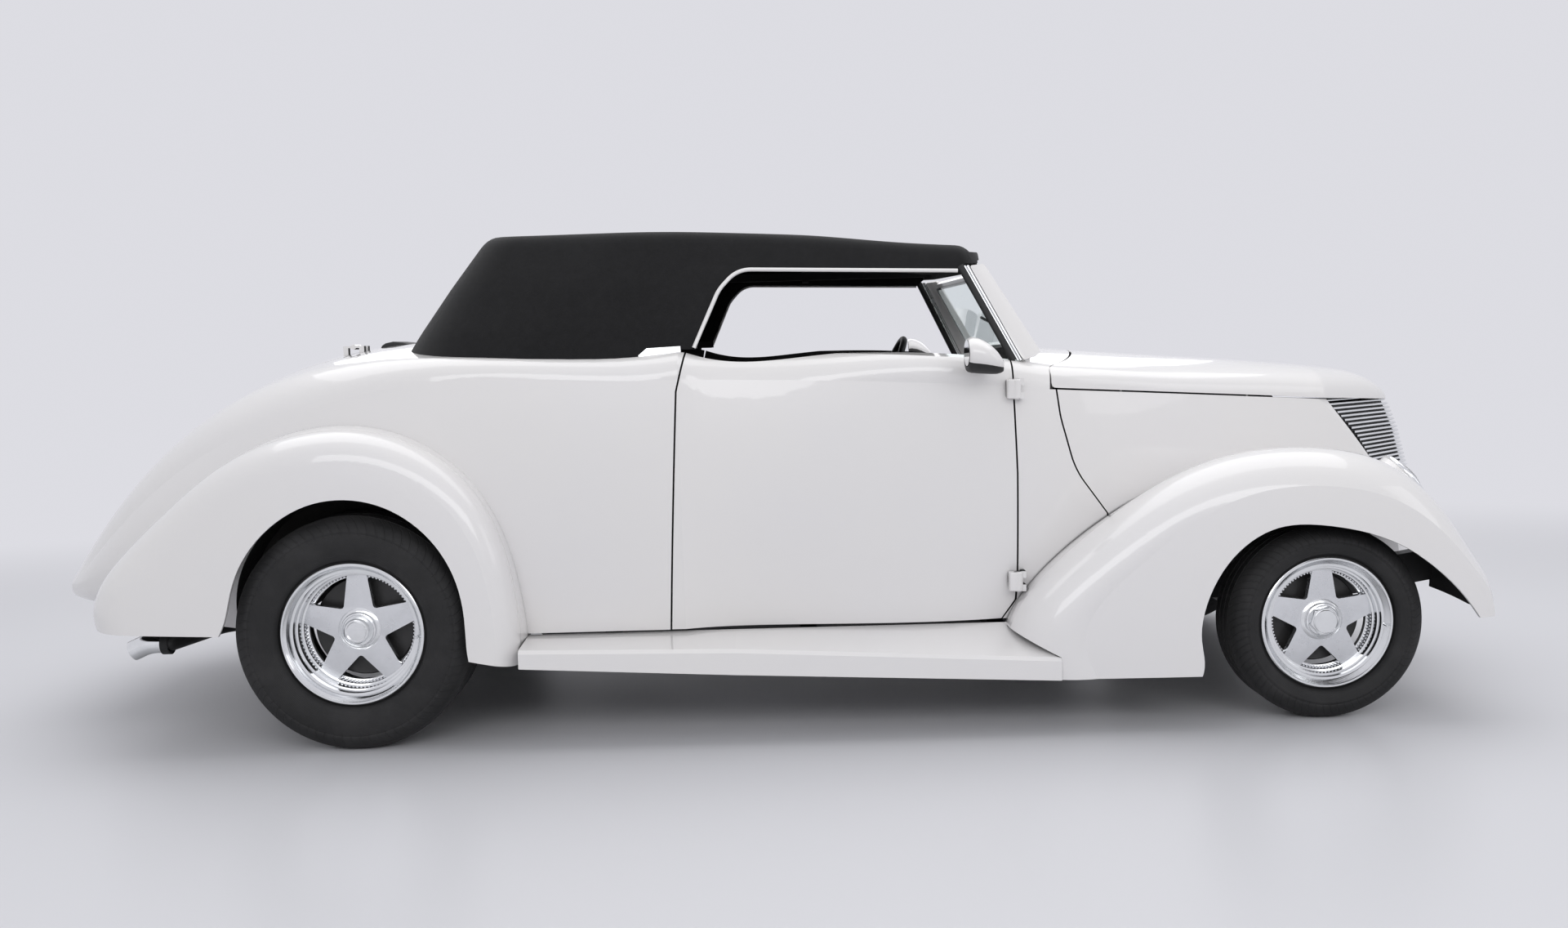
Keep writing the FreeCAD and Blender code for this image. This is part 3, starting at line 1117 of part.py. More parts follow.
mirror = mirror_shape()


def wiper_shape():
    across, up, normal = screen_axes()
    foot = SCREEN_FOOT_MID + across * 330.0 + normal * 16.0 + up * -12.0
    arm_start = foot
    arm_end = foot + across * -150.0 + up * 90.0
    blade_a = arm_end + across * -130.0 + up * -48.0
    blade_b = arm_end + across * 130.0 + up * 48.0
    arm = rod(arm_start, arm_end - arm_start, 4.0, (arm_end - arm_start).Length)
    blade = rod(blade_a - normal * 3.0, blade_b - blade_a, 5.0, (blade_b - blade_a).Length)
    pivot = rod(arm_start - normal * 60.0, normal, 11.0, 66.0)
    return biggest(arm.multiFuse([blade, pivot]).cut(OUTER).cut(windshield_frame).cut(windshield_glass))


wiper = wiper_shape()
wipers = Part.makeCompound([wiper, mirrored(wiper)])


# ---------------------------------------------------------------- door hinges
def hinge_parts(low):
    # Outside hinge: two fixed barrels and a pin on the cowl, one barrel on the door.
    skin = half_width(HINGE_X, low)
    y = -PIN_Y
    third = HINGE_HEIGHT / 3.0
    ahead = HINGE_X + HINGE_TAB
    fixed = []
    for z0 in (low, low + 2.0 * third):
        fixed.append(rod(vec(HINGE_X, y, z0), vec(0, 0, 1), HINGE_RADIUS, third))
        fixed.append(box(HINGE_X, ahead, y - 3.0, y + 3.0, z0, z0 + third))
        fixed.append(box(ahead - 12.0, ahead, y - 3.0, -skin + 22.0, z0, z0 + third))
    fixed.append(rod(vec(HINGE_X, y, low), vec(0, 0, 1), HINGE_PIN, HINGE_HEIGHT))
    base = fixed[0].multiFuse(fixed[1:])
    z0 = low + third + 0.5
    z1 = low + 2.0 * third - 0.5
    moving = rod(vec(HINGE_X, y, z0), vec(0, 0, 1), HINGE_RADIUS, z1 - z0)
    behind = HINGE_X - HINGE_TAB
    tab = box(behind, HINGE_X, y - 3.0, y + 3.0, z0, z1)
    web = box(behind, behind + 12.0, y - 3.0, -skin + 22.0, z0, z1)
    moving = moving.multiFuse([tab, web])
    moving = moving.cut(rod(vec(HINGE_X, y, low - 5.0), vec(0, 0, 1), HINGE_PIN + FIT, HINGE_HEIGHT + 10.0))
    return base, moving


PIN_Y = half_width(HINGE_X, 690.0) + HINGE_OFFSET
print("hinges", PIN_Y)
bases = []
for name, side in SIDES:
    for low in (HINGE_LOW_Z, HINGE_HIGH_Z):
        base, moving = hinge_parts(low)
        bases.append(to_side(base, side))
        doors[name] = biggest(doors[name].fuse(to_side(moving, side)))
cowl = cowl.multiFuse(bases)

NODES = {
    "frame_rails": rails,
    "crossmembers": crossmembers,
    "floor_pan": floor_pan,
    "cowl": cowl,
    "rear_body": rear_body,
    "nose_panel": nose,
    "grille": grille,
    "hood": hood,
    "trunk_lid": trunk_lid,
    "door_right": doors["right"],
    "door_left": doors["left"],
    "front_fenders": Part.makeCompound([front_fender, mirrored(front_fender)]),
    "rear_fenders": Part.makeCompound([rear_fender, mirrored(rear_fender)]),
    "running_boards": Part.makeCompound([boards["right"], boards["left"]]),
    "headlights": Part.makeCompound([headlight, mirrored(headlight)]),
    "headlight_lenses": Part.makeCompound([headlight_lens, mirrored(headlight_lens)]),
    "windshield_frame": windshield_frame,
    "windshield_glass": windshield_glass,
    "soft_top": soft_top,
    "top_frame": top_frame,
    "quarter_trims": quarter_trims,
    "seat_cushion": seat_cushion,
    "seat_back": seat_back,
    "dashboard": dashboard,
    "steering_wheel": steering,
    "engine_block": engine,
    "exhaust": exhaust,
    "fuel_tank": fuel_tank,
    "rear_axle": rear_axle,
    "suspension": suspension,
    "rear_lamps": rear_lamps,
    "wipers": wipers,
    "mirror_right": mirror,
    "mirror_left": mirrored(mirror),
    "knuckle_right": knuckle,
    "knuckle_left": mirrored(knuckle),
    "rim_front_right": front_rim,
    "rim_front_left": mirrored(front_rim),
    "rim_rear_right": rear_rim,
    "rim_rear_left": mirrored(rear_rim),
    "tyre_front_right": front_tyre,
    "tyre_front_left": mirrored(front_tyre),
    "tyre_rear_right": rear_tyre,
    "tyre_rear_left": mirrored(rear_tyre),
}

os.makedirs("parts", exist_ok=True)
for name, shape in NODES.items():
    shape = shape.copy()
    shape.translate(vec(-MID_X, 0, 0))
    box_now = shape.BoundBox
    print(name, len(shape.Solids), shape.isValid(), round(shape.Volume / 1e6, 2),
          [round(v) for v in (box_now.XMin, box_now.XMax, box_now.YMin, box_now.YMax, box_now.ZMin, box_now.ZMax)])
    shape.exportStep("parts/" + name + ".step")
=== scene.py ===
"""Looks of a white two-door hot rod with a black cloth top, dressed over its engineering model.

Each sub-assembly is a class that holds its sizes and builds and dresses its own pieces, each
finish is a frozen dataclass that makes one procedural material, and main() runs them in order.
"""

import logging
import math
from dataclasses import dataclass
from enum import Enum
from typing import Callable, Sequence

import bmesh
import bpy
from mathutils import Matrix, Vector
from mathutils.bvhtree import BVHTree


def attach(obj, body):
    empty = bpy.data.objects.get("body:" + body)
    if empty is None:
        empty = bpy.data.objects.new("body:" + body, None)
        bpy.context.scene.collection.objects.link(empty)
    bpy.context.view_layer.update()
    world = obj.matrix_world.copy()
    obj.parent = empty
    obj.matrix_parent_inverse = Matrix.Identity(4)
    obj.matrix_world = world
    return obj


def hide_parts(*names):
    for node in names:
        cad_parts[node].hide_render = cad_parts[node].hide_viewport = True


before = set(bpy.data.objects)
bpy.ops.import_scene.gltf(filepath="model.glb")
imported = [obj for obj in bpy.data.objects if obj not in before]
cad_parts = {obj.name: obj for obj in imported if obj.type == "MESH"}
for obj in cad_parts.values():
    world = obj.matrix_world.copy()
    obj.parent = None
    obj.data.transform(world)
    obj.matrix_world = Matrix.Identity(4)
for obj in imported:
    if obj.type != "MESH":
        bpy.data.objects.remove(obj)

log = logging.getLogger("hot_rod")
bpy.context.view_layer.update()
BODY = "car_body"
Point = tuple[float, float, float]
Colour = tuple[float, float, float]
# Metres. The frame's origin and the front axle are given ahead of the rear axle.
MID_X = 1.220
WHEELBASE = 2.845
# A head lamp's centre ahead of the rear axle, out from the middle and up, and the way it looks.
LAMP_X, LAMP_Y, LAMP_Z = 3.153, 0.604, 0.686
LAMP_WAY: Point = (0.785, 0.069, 0.616)


def fore(x: float) -> float:
    """Turns a distance ahead of the rear axle into the frame's X."""
    return x - MID_X


def smooth(share: float) -> float:
    """Eases a share between 0 and 1."""
    share = min(1.0, max(0.0, share))
    return share * share * (3.0 - 2.0 * share)


def mix(a: float, b: float, share: float) -> float:
    """Gives the value that lies at a share of the way from a to b."""
    return a + (b - a) * share


# ------------------------------------------------------------------ shader expressions
class Wire:
    """A shader socket that takes part in arithmetic."""

    def __init__(self, graph: "Graph", socket: bpy.types.NodeSocket) -> None:
        """Wraps a socket.

        Args:
            graph: The material's graph that new nodes go into.
            socket: The output socket that carries the value.
        """
        self.graph = graph
        self.socket = socket

    def __add__(self, other: "Wire | float") -> "Wire":
        """Adds."""
        return self.graph.math("ADD", self, other)

    def __radd__(self, other: float) -> "Wire":
        """Adds, with the number first."""
        return self.graph.math("ADD", other, self)

    def __sub__(self, other: "Wire | float") -> "Wire":
        """Subtracts."""
        return self.graph.math("SUBTRACT", self, other)

    def __rsub__(self, other: float) -> "Wire":
        """Subtracts from a number."""
        return self.graph.math("SUBTRACT", other, self)

    def __mul__(self, other: "Wire | float") -> "Wire":
        """Multiplies."""
        return self.graph.math("MULTIPLY", self, other)

    def __rmul__(self, other: float) -> "Wire":
        """Multiplies, with the number first."""
        return self.graph.math("MULTIPLY", other, self)

    def __abs__(self) -> "Wire":
        """Gives the size without the sign."""
        return self.graph.math("ABSOLUTE", self, 0.0)

    def ease(self, low: float, high: float) -> "Wire":
        """Rises smoothly from 0 at low to 1 at high, or falls where high is the lower.

        Args:
            low: Value that gives 0.
            high: Value that gives 1.

        Returns:
            The eased share.
        """
        flip = high < low
        a, b = (high, low) if flip else (low, high)
        node = self.graph.add("MapRange", {"interpolation_type": "SMOOTHSTEP"},
                              {"Value": self, "From Min": a, "From Max": b})
        share = Wire(self.graph, node.outputs["Result"])
        return 1.0 - share if flip else share


class Graph:
    """One material's node tree, with short ways to add to it."""

    def __init__(self, name: str) -> None:
        """Starts an empty material of that name."""
        self.material = bpy.data.materials.new(name)
        self.material.use_nodes = True
        self.tree = self.material.node_tree
        self.tree.nodes.clear()
        self.output = self.tree.nodes.new("ShaderNodeOutputMaterial")
        self._coords: bpy.types.Node | None = None

    def add(self, kind: str, settings: dict | None = None, inputs: dict | None = None) -> bpy.types.Node:
        """Adds a node.

        Args:
            kind: The node's type without its ShaderNode prefix.
            settings: What is set on the node first.
            inputs: Values or wires for its sockets, by name or number.

        Returns:
            The new node.
        """
        node = self.tree.nodes.new("ShaderNode" + kind)
        for name, value in (settings or {}).items():
            setattr(node, name, value)
        for name, value in (inputs or {}).items():
            if isinstance(value, Wire):
                self.tree.links.new(value.socket, node.inputs[name])
            else:
                node.inputs[name].default_value = value
        return node

    def math(self, operation: str, a: "Wire | float", b: "Wire | float") -> Wire:
        """Joins two values with a Math node and returns its result."""
        node = self.add("Math", {"operation": operation}, {0: a, 1: b})
        return Wire(self, node.outputs[0])

    def coords(self, output: str = "Object") -> Wire:
        """Gives the piece's own coordinates, or another output of the same node."""
        if self._coords is None:
            self._coords = self.add("TexCoord")
        return Wire(self, self._coords.outputs[output])

    def axes(self, vector: Wire | None = None) -> tuple[Wire, Wire, Wire]:
        """Splits a vector, or the piece's own coordinates, into x, y and z."""
        node = self.add("SeparateXYZ", None, {0: vector or self.coords()})
        return tuple(Wire(self, node.outputs[i]) for i in range(3))

    def joined(self, x: "Wire | float", y: "Wire | float", z: "Wire | float") -> Wire:
        """Makes a vector of three values."""
        node = self.add("CombineXYZ", None, {0: x, 1: y, 2: z})
        return Wire(self, node.outputs[0])

    def vector(self, operation: str, a: "Wire | Point", b: "Wire | Point", output: int = 0) -> Wire:
        """Joins two vectors with a Vector Math node."""
        node = self.add("VectorMath", {"operation": operation}, {0: a, 1: b})
        return Wire(self, node.outputs[output])

    def noise(self, scale: float, detail: float = 2.0, rough: float = 0.5,
              vector: Wire | None = None) -> Wire:
        """Gives a noise between 0 and 1 over the piece."""
        node = self.add("TexNoise", None, {"Vector": vector or self.coords(), "Scale": scale,
                                           "Detail": detail, "Roughness": rough})
        return Wire(self, node.outputs[0])

    def blend(self, share: "Wire | float", a: "Wire | Colour", b: "Wire | Colour") -> Wire:
        """Blends two colours.

        Args:
            share: 0 gives a and 1 gives b.
            a: First colour.
            b: Second colour.

        Returns:
            The blended colour.
        """
        first = a if isinstance(a, Wire) else (*a, 1.0)
        second = b if isinstance(b, Wire) else (*b, 1.0)
        node = self.add("Mix", {"data_type": "RGBA"}, {0: share, 6: first, 7: second})
        return Wire(self, node.outputs[2])

    def bump(self, height: Wire, strength: float, distance: float, normal: Wire | None = None) -> Wire:
        """Raises the surface's normal by a height, over another bump if one is given."""
        inputs = {"Height": height, "Strength": strength, "Distance": distance}
        if normal is not None:
            inputs["Normal"] = normal
        return Wire(self, self.add("Bump", None, inputs).outputs[0])

    def surface(self, **sockets: "Wire | float | Colour") -> bpy.types.Material:
        """Ends the graph in a Principled surface.

        Args:
            **sockets: Socket names with _ for a space, and their values or wires.

        Returns:
            The finished material.
        """
        inputs = {}
        for name, value in sockets.items():
            key = name.replace("_", " ")
            is_colour = isinstance(value, tuple) and len(value) == 3
            inputs[key] = (*value, 1.0) if is_colour else value
        shader = self.add("BsdfPrincipled", None, inputs)
        self.tree.links.new(shader.outputs[0], self.output.inputs[0])
        self.material.diffuse_color = (0.5, 0.5, 0.5, 1.0)
        return self.material


# ------------------------------------------------------------------ finishes
_made: dict[str, bpy.types.Material] = {}


@dataclass(frozen=True)
class Finish:
    """What every finish has: a name, and a material that is made once."""

    name: str

    def paint(self, graph: Graph) -> bpy.types.Material:
        """Fills the graph; each finish has its own."""
        raise NotImplementedError

    def material(self) -> bpy.types.Material:
        """Gives the finish's material, made on first use."""
        if self.name not in _made:
            _made[self.name] = self.paint(Graph(self.name))
        return _made[self.name]

    def dress(self, *names: str) -> None:
        """Gives this finish to CAD nodes by name."""
        for name in names:
            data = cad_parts[name].data
            data.materials.clear()
            data.materials.append(self.material())

    def cover(self, *objects: bpy.types.Object) -> None:
        """Gives this finish to new pieces."""
        for obj in objects:
            obj.data.materials.clear()
            obj.data.materials.append(self.material())


class InnerShade(Enum):
    """Which inward-facing surfaces of a painted panel turn near black as painted shade."""

    BODY = "body"
    REAR_ARCH = "rear_arch"
    FRONT_ARCH = "front_arch"
    NONE = "none"


@dataclass(frozen=True)
class PearlPaint(Finish):
    """Pearl white gloss, with painted shade in the panel gaps and near-black painted shade on the side that
    faces into the car.
    """

    colour: Colour = (0.820, 0.804, 0.796)
    cool: Colour = (0.800, 0.788, 0.798)
    # The colour below is painted shade for panel gaps, creases and joints.
    gap_shade: Colour = (0.012, 0.012, 0.013)
    # Which inward-facing side gets painted shade, and its near-black colour.
    inner_shade: InnerShade = InnerShade.NONE
    inner_shade_colour: Colour = (0.018, 0.018, 0.019)
    gap_shade_reach: float = 0.016
    body_squash: float = 0.26
    body_height: float = 0.66
    arch_height: float = 0.33
    arch_lean: float = 0.45

    def hidden(self, graph: Graph) -> "Wire | float":
        """Finds the panel's inward-facing side from where it faces; that side gets painted shade.

        Args:
            graph: The material's graph.

        Returns:
            1 on the hidden side and 0 on the outer one.
        """
        if self.inner_shade is InnerShade.NONE:
            return 0.0
        x, y, z = graph.axes()
        normal = graph.coords("Normal")
        if self.inner_shade is InnerShade.BODY:
            away = graph.joined(x * self.body_squash, y, z - self.body_height)
            facing = graph.vector("DOT_PRODUCT", normal, graph.vector("NORMALIZE", away, away), 1)
            return facing.ease(-0.05, -0.2)
        centre = fore(0.0) if self.inner_shade is InnerShade.REAR_ARCH else fore(WHEELBASE)
        side = graph.math("SIGN", y, 0.0)
        away = graph.joined(x - centre, side * self.arch_lean, z - self.arch_height)
        facing = graph.vector("DOT_PRODUCT", normal, graph.vector("NORMALIZE", away, away), 1)
        inner = facing.ease(-0.02, -0.12) * abs(y).ease(0.8765, 0.8745)
        if self.inner_shade is InnerShade.REAR_ARCH:
            return inner
        # Painted shade also falls on the lamp-bucket collar inside the front fender, behind the head lamp.
        ahead, across, up = LAMP_WAY
        dx, dy, dz = x - fore(LAMP_X), abs(y) - LAMP_Y, z - LAMP_Z
        depth = dx * ahead + dy * across + dz * up
        spread = dx * dx + dy * dy + dz * dz - depth * depth
        nx, ny, nz = graph.axes(normal)
        turned = nx * ahead + ny * side * across + nz * up
        bucket = depth.ease(-0.055, -0.070) * spread.ease(0.0225, 0.0196) * turned.ease(0.45, 0.30)
        return graph.math("MAXIMUM", inner, bucket)

    def paint(self, graph: Graph) -> bpy.types.Material:
        """Builds the paint: a slow cool drift, orange peel, painted shade in the gaps and painted shade on
        the inward-facing side.
        """
        drift = graph.noise(1.3, 3.0, 0.55).ease(0.35, 0.7)
        speck = graph.noise(420.0, 2.0, 0.6)
        colour = graph.blend(drift * 0.55 + speck * 0.12, self.colour, self.cool)
        # Painted shade: an occlusion node turns the colour near black and takes the clear coat away where
        # other surfaces lie close, in gaps, creases and joints.
        shade = graph.add("AmbientOcclusion", {"samples": 6}, {"Distance": self.gap_shade_reach})
        closed = Wire(graph, shade.outputs["AO"]).ease(0.46, 0.26)
        hidden = self.hidden(graph)
        colour = graph.blend(closed, colour, self.gap_shade)
        rough = 0.30 + speck * 0.06
        coat: Wire | float = 1.0 - closed
        # The inward-facing side turns near black, rougher and without clear coat: painted shade.
        if isinstance(hidden, Wire):
            colour = graph.blend(hidden, colour, self.inner_shade_colour)
            rough = rough + hidden * 0.4
            coat = coat * (1.0 - hidden)
        peel = graph.noise(260.0, 1.0, 0.4)
        return graph.surface(Base_Color=colour, Roughness=rough, Coat_Weight=coat, Coat_Roughness=0.035,
                             Coat_IOR=1.5, Specular_IOR_Level=0.5,
                             Normal=graph.bump(peel, 0.05, 0.0004))


@dataclass(frozen=True)
class Satin(Finish):
    """Satin black or grey for trim, frame and covers, with dust and a fine grain."""

    colour: Colour = (0.02, 0.02, 0.021)
    roughness: float = 0.5
    grain: float = 350.0
    depth: float = 0.0006
    dust: float = 0.25

    def paint(self, graph: Graph) -> bpy.types.Material:
        """Builds the finish: cloudy dust over a grained surface."""
        cloud = graph.noise(9.0, 4.0, 0.6)
        grain = graph.noise(self.grain, 3.0, 0.6)
        lighter = tuple(min(1.0, c * 2.2 + 0.02) for c in self.colour)
        colour = graph.blend(cloud.ease(0.45, 0.8) * self.dust, self.colour, lighter)
        rough = (cloud - 0.5) * 0.25 + (grain - 0.5) * 0.12 + self.roughness
        return graph.surface(Base_Color=colour, Roughness=rough, Normal=graph.bump(grain, 0.35, self.depth))


@dataclass(frozen=True)
class Polished(Finish):
    """Bright metal; with a centre it carries the fine rings of a lathe."""

    colour: Colour = (0.83, 0.84, 0.85)
    roughness: float = 0.12
    centre: tuple[float, float] | None = None
    rings: float = 0.0
    haze: float = 0.12

    def paint(self, graph: Graph) -> bpy.types.Material:
        """Builds the metal: hazy patches, hairline wear and the lathe's rings."""
        cloud = graph.noise(14.0, 4.0, 0.6)
        hair = graph.noise(90.0, 5.0, 0.7)
        tone = graph.blend(cloud.ease(0.3, 0.75) * 0.5, self.colour,
                           tuple(c * 0.82 for c in self.colour))
        rough = self.roughness + cloud.ease(0.4, 0.8) * self.haze + (hair - 0.5) * 0.06
        normal = graph.bump(hair, 0.06, 0.0004)
        if self.centre is not None:
            x, _, z = graph.axes()
            dx = x - self.centre[0]
            dz = z - self.centre[1]
            radius = graph.math("SQRT", dx * dx + dz * dz, 0.0)
            wave = graph.math("SINE", radius * self.rings, 0.0)
            normal = graph.bump(wave, 0.10, 0.00025, normal)
        return graph.surface(Base_Color=tone, Metallic=1.0, Roughness=rough, Normal=normal)


@dataclass(frozen=True)
class TyreRubber(Finish):
    """Black rubber with a dusty bloom, sidewall ribs and sipes across the tread."""

    centre: tuple[float, float] = (0.0, 0.0)
    radius: float = 0.342
    pitch: int = 74

    def paint(self, graph: Graph) -> bpy.types.Material:
        """Builds the rubber about the wheel's own axle."""
        x, y, z = graph.axes()
        dx = x - self.centre[0]
        dz = z - self.centre[1]
        radius = graph.math("SQRT", dx * dx + dz * dz, 0.0)
        angle = graph.math("ARCTAN2", dz, dx)
        bloom = graph.noise(7.0, 4.0, 0.65)
        grain = graph.noise(260.0, 2.0, 0.5)
        worn = radius.ease(self.radius - 0.012, self.radius - 0.001)
        colour = graph.blend(bloom.ease(0.35, 0.8) * 0.75, (0.012, 0.012, 0.0125), (0.034, 0.033, 0.034))
        colour = graph.blend(worn * 0.5, colour, (0.042, 0.041, 0.041))
        rib = graph.math("SINE", radius * 1500.0, 0.0)
        shoulder = radius.ease(self.radius - 0.060, self.radius - 0.030)
        normal = graph.bump(rib * (1.0 - shoulder) * 0.5 + grain, 0.30, 0.0006)
        slant = angle + abs(y) * 3.0
        sipe = graph.math("SINE", slant * float(self.pitch), 0.0).ease(0.82, 0.95)
        normal = graph.bump(sipe * shoulder * -1.0, 0.8, 0.003, normal)
        rough = 0.58 + bloom * 0.2 + (grain - 0.5) * 0.1
        return graph.surface(Base_Color=colour, Roughness=rough, Normal=normal, Specular_IOR_Level=0.4)


@dataclass(frozen=True)
class Canvas(Finish):
    """Black top cloth in a fine twill that follows the sheet's own UV map."""

    dark: Colour = (0.0065, 0.0065, 0.0072)
    light: Colour = (0.0165, 0.0165, 0.0178)
    threads: float = 900.0

    def paint(self, graph: Graph) -> bpy.types.Material:
        """Builds the weave, its mottling and a little lint."""
        u, v, _ = graph.axes(graph.coords("UV"))
        warp = graph.math("SINE", (u + v) * (self.threads * math.pi), 0.0)
        weft = graph.math("SINE", (u - v * 0.6) * (self.threads * math.pi * 0.8), 0.0)
        weave = warp * 0.5 + weft * 0.3
        mottle = graph.noise(38.0, 6.0, 0.75)
        cloud = graph.noise(5.0, 3.0, 0.55)
        lint = graph.noise(520.0, 1.0, 0.5).ease(0.66, 0.74)
        share = (mottle - 0.5) * 1.6 + cloud * 0.55 + weave * 0.12
        colour = graph.blend(graph.math("MAXIMUM", share, 0.0), self.dark, self.light)
        colour = graph.blend(lint * 0.18, colour, (0.05, 0.05, 0.052))
        normal = graph.bump(weave + mottle * 1.5, 0.35, 0.0007)
        return graph.surface(Base_Color=colour, Roughness=0.86 + (mottle - 0.5) * 0.15,
                             Sheen_Weight=0.10, Sheen_Roughness=0.5, Specular_IOR_Level=0.25,
                             Normal=normal)


@dataclass(frozen=True)
class Vinyl(Finish):
    """Grained vinyl or leather with a soft colour drift."""

    colour: Colour = (0.45, 0.42, 0.38)
    roughness: float = 0.48
    grain: float = 420.0

    def paint(self, graph: Graph) -> bpy.types.Material:
        """Builds the hide: cells of grain, creases and paler worn patches."""
        cells = graph.add("TexVoronoi", {"feature": "SMOOTH_F1"},
                          {"Vector": graph.coords(), "Scale": self.grain})
        grain = Wire(graph, cells.outputs["Distance"])
        drift = graph.noise(6.0, 4.0, 0.6)
        crease = graph.noise(60.0, 5.0, 0.7)
        paler = tuple(min(1.0, c * 1.25 + 0.01) for c in self.colour)
        colour = graph.blend(drift.ease(0.35, 0.75), self.colour, paler)
        colour = graph.blend((1.0 - grain.ease(0.1, 0.5)) * 0.18, colour, tuple(c * 0.6 for c in self.colour))
        rough = self.roughness + (crease - 0.5) * 0.22
        normal = graph.bump(grain, 0.25, 0.0008)
        normal = graph.bump(crease, 0.12, 0.002, normal)
        return graph.surface(Base_Color=colour, Roughness=rough, Normal=normal)


@dataclass(frozen=True)
class Carpet(Finish):
    """Cut-pile carpet for the floor, and the painted pan beneath it."""

    pile: Colour = (0.10, 0.095, 0.09)
    under: Colour = (0.02, 0.02, 0.02)

    def paint(self, graph: Graph) -> bpy.types.Material:
        """Builds tufts on what faces up, and black undercoat on the rest."""
        _, _, up = graph.axes(graph.coords("Normal"))
        tuft = graph.noise(700.0, 3.0, 0.7)
        cloud = graph.noise(12.0, 3.0, 0.6)
        pile = graph.blend(tuft * 0.8 + cloud * 0.3, tuple(c * 0.55 for c in self.pile), self.pile)
        top = up.ease(-0.2, 0.2)
        return graph.surface(Base_Color=graph.blend(top, self.under, pile),
                             Roughness=0.95 - (1.0 - top) * 0.3, Normal=graph.bump(tuft, 0.7, 0.002))


@dataclass(frozen=True)
class Glazing(Finish):
    """Clear or tinted glass or lens with a trace of dust, and moulded ribs if asked for."""

    colour: Colour = (0.93, 0.97, 0.96)
    roughness: float = 0.0
    ribs: float = 0.0
    ior: float = 1.45

    def paint(self, graph: Graph) -> bpy.types.Material:
        """Builds the glass."""
        dust = graph.noise(30.0, 5.0, 0.7)
        inputs = {}
        if self.ribs:
            _, y, z = graph.axes()
            fan = graph.math("SINE", y * self.ribs, 0.0) + graph.math("SINE", z * self.ribs * 0.4, 0.0) * 0.5
            inputs["Normal"] = graph.bump(fan, 0.5, 0.0012)
        return graph.surface(Base_Color=self.colour, Transmission_Weight=1.0, IOR=self.ior,
                             Roughness=self.roughness + dust.ease(0.6, 0.9) * 0.05, **inputs)


# Every paint here carries painted shade in its gaps; the ones given an inward-side mask also turn their
# inward-facing side into near-black painted shade.
PAINT = PearlPaint("pearl_white_panel", inner_shade=InnerShade.BODY)
PAINT_TRIM = PearlPaint("pearl_white_trim", gap_shade_reach=0.006)
PAINT_REAR_FENDER = PearlPaint("pearl_white_rear_fender", inner_shade=InnerShade.REAR_ARCH)
PAINT_FRONT_FENDER = PearlPaint("pearl_white_front_fender", inner_shade=InnerShade.FRONT_ARCH)
RUBBER = Satin("black_seal_rubber", colour=(0.012, 0.012, 0.0125), roughness=0.62, dust=0.3)
TRIM_BLACK = Satin("black_trim_vinyl", colour=(0.010, 0.010, 0.011), roughness=0.55, grain=600.0, dust=0.15)
FRAME_BLACK = Satin("frame_black", colour=(0.018, 0.018, 0.018), roughness=0.45, dust=0.5, grain=120.0)
CAST_IRON = Satin("engine_enamel", colour=(0.06, 0.06, 0.065), roughness=0.42, dust=0.4, grain=90.0,
                  depth=0.002)
DARK_IRON = Satin("brake_iron", colour=(0.035, 0.034, 0.034), roughness=0.38, dust=0.3, grain=200.0)
STEEL = Polished("bare_steel", colour=(0.56, 0.56, 0.57), roughness=0.32, haze=0.2)
CHROME = Polished("bright_chrome", colour=(0.87, 0.88, 0.89), roughness=0.05, haze=0.05)
BAR_BRIGHT = Polished("grille_bar_polish", colour=(0.86, 0.87, 0.88), roughness=0.11, haze=0.10)
ALUMINIUM = Polished("brushed_aluminium", colour=(0.80, 0.81, 0.82), roughness=0.22, haze=0.15)
CANVAS = Canvas("black_top_canvas")
SEAT_VINYL = Vinyl("grey_seat_vinyl", colour=(0.36, 0.34, 0.31))
PANEL_VINYL = Vinyl("grey_panel_vinyl", colour=(0.30, 0.285, 0.265))
CARPET = Carpet("floor_carpet")
SCREEN_GLASS = Glazing("screen_glass", colour=(0.86, 0.93, 0.92))
LAMP_GLASS = Glazing("lamp_glass", colour=(0.97, 0.98, 0.98), ribs=520.0)
RED_LENS = Glazing("red_lens", colour=(0.55, 0.01, 0.012), roughness=0.08, ribs=900.0)


# ------------------------------------------------------------------ workbench
def lofted(rows: int, count: int, closed: bool = True) -> list[Sequence[int]]:
    """Joins rows of points, laid one after another, with four-sided faces.

    Args:
        rows: How many rows there are.
        count: Points in a row.
        closed: Whether each row is a ring.

    Returns:
        The faces' point numbers.
    """
    steps = range(count if closed else count - 1)
    return [(start + k, start + (k + 1) % count, start + count + (k + 1) % count, start + count + k)
            for start in range(0, (rows - 1) * count, count) for k in steps]


def rounded(points: Sequence[tuple[float, float]], radii: Sequence[float], closed: bool = True,
            steps: int = 6) -> list[tuple[float, float]]:
    """Rounds the corners of a flat outline.

    Args:
        points: The outline's corners.
        radii: One radius a corner; 0 keeps it sharp.
        closed: Whether the last corner joins the first.
        steps: Runs in each rounded corner.

    Returns:
        The rounded outline's points.
    """
    made: list[tuple[float, float]] = []
    count = len(points)
    for i, (point, radius) in enumerate(zip(points, radii)):
        here = Vector(point)
        if radius <= 0 or (not closed and i in (0, count - 1)):
            made.append(tuple(here))
            continue
        before = (Vector(points[i - 1]) - here).normalized()
        after = (Vector(points[(i + 1) % count]) - here).normalized()
        half = before.angle(after) / 2.0
        reach = radius / math.tan(half)
        start, end = here + before * reach, here + after * reach
        centre = here + (before + after).normalized() * (radius / math.sin(half))
        for k in range(steps + 1):
            share = k / steps
            spoke = ((start - centre) * (1 - share) + (end - centre) * share).normalized()
            made.append(tuple(centre + spoke * radius))
    return made


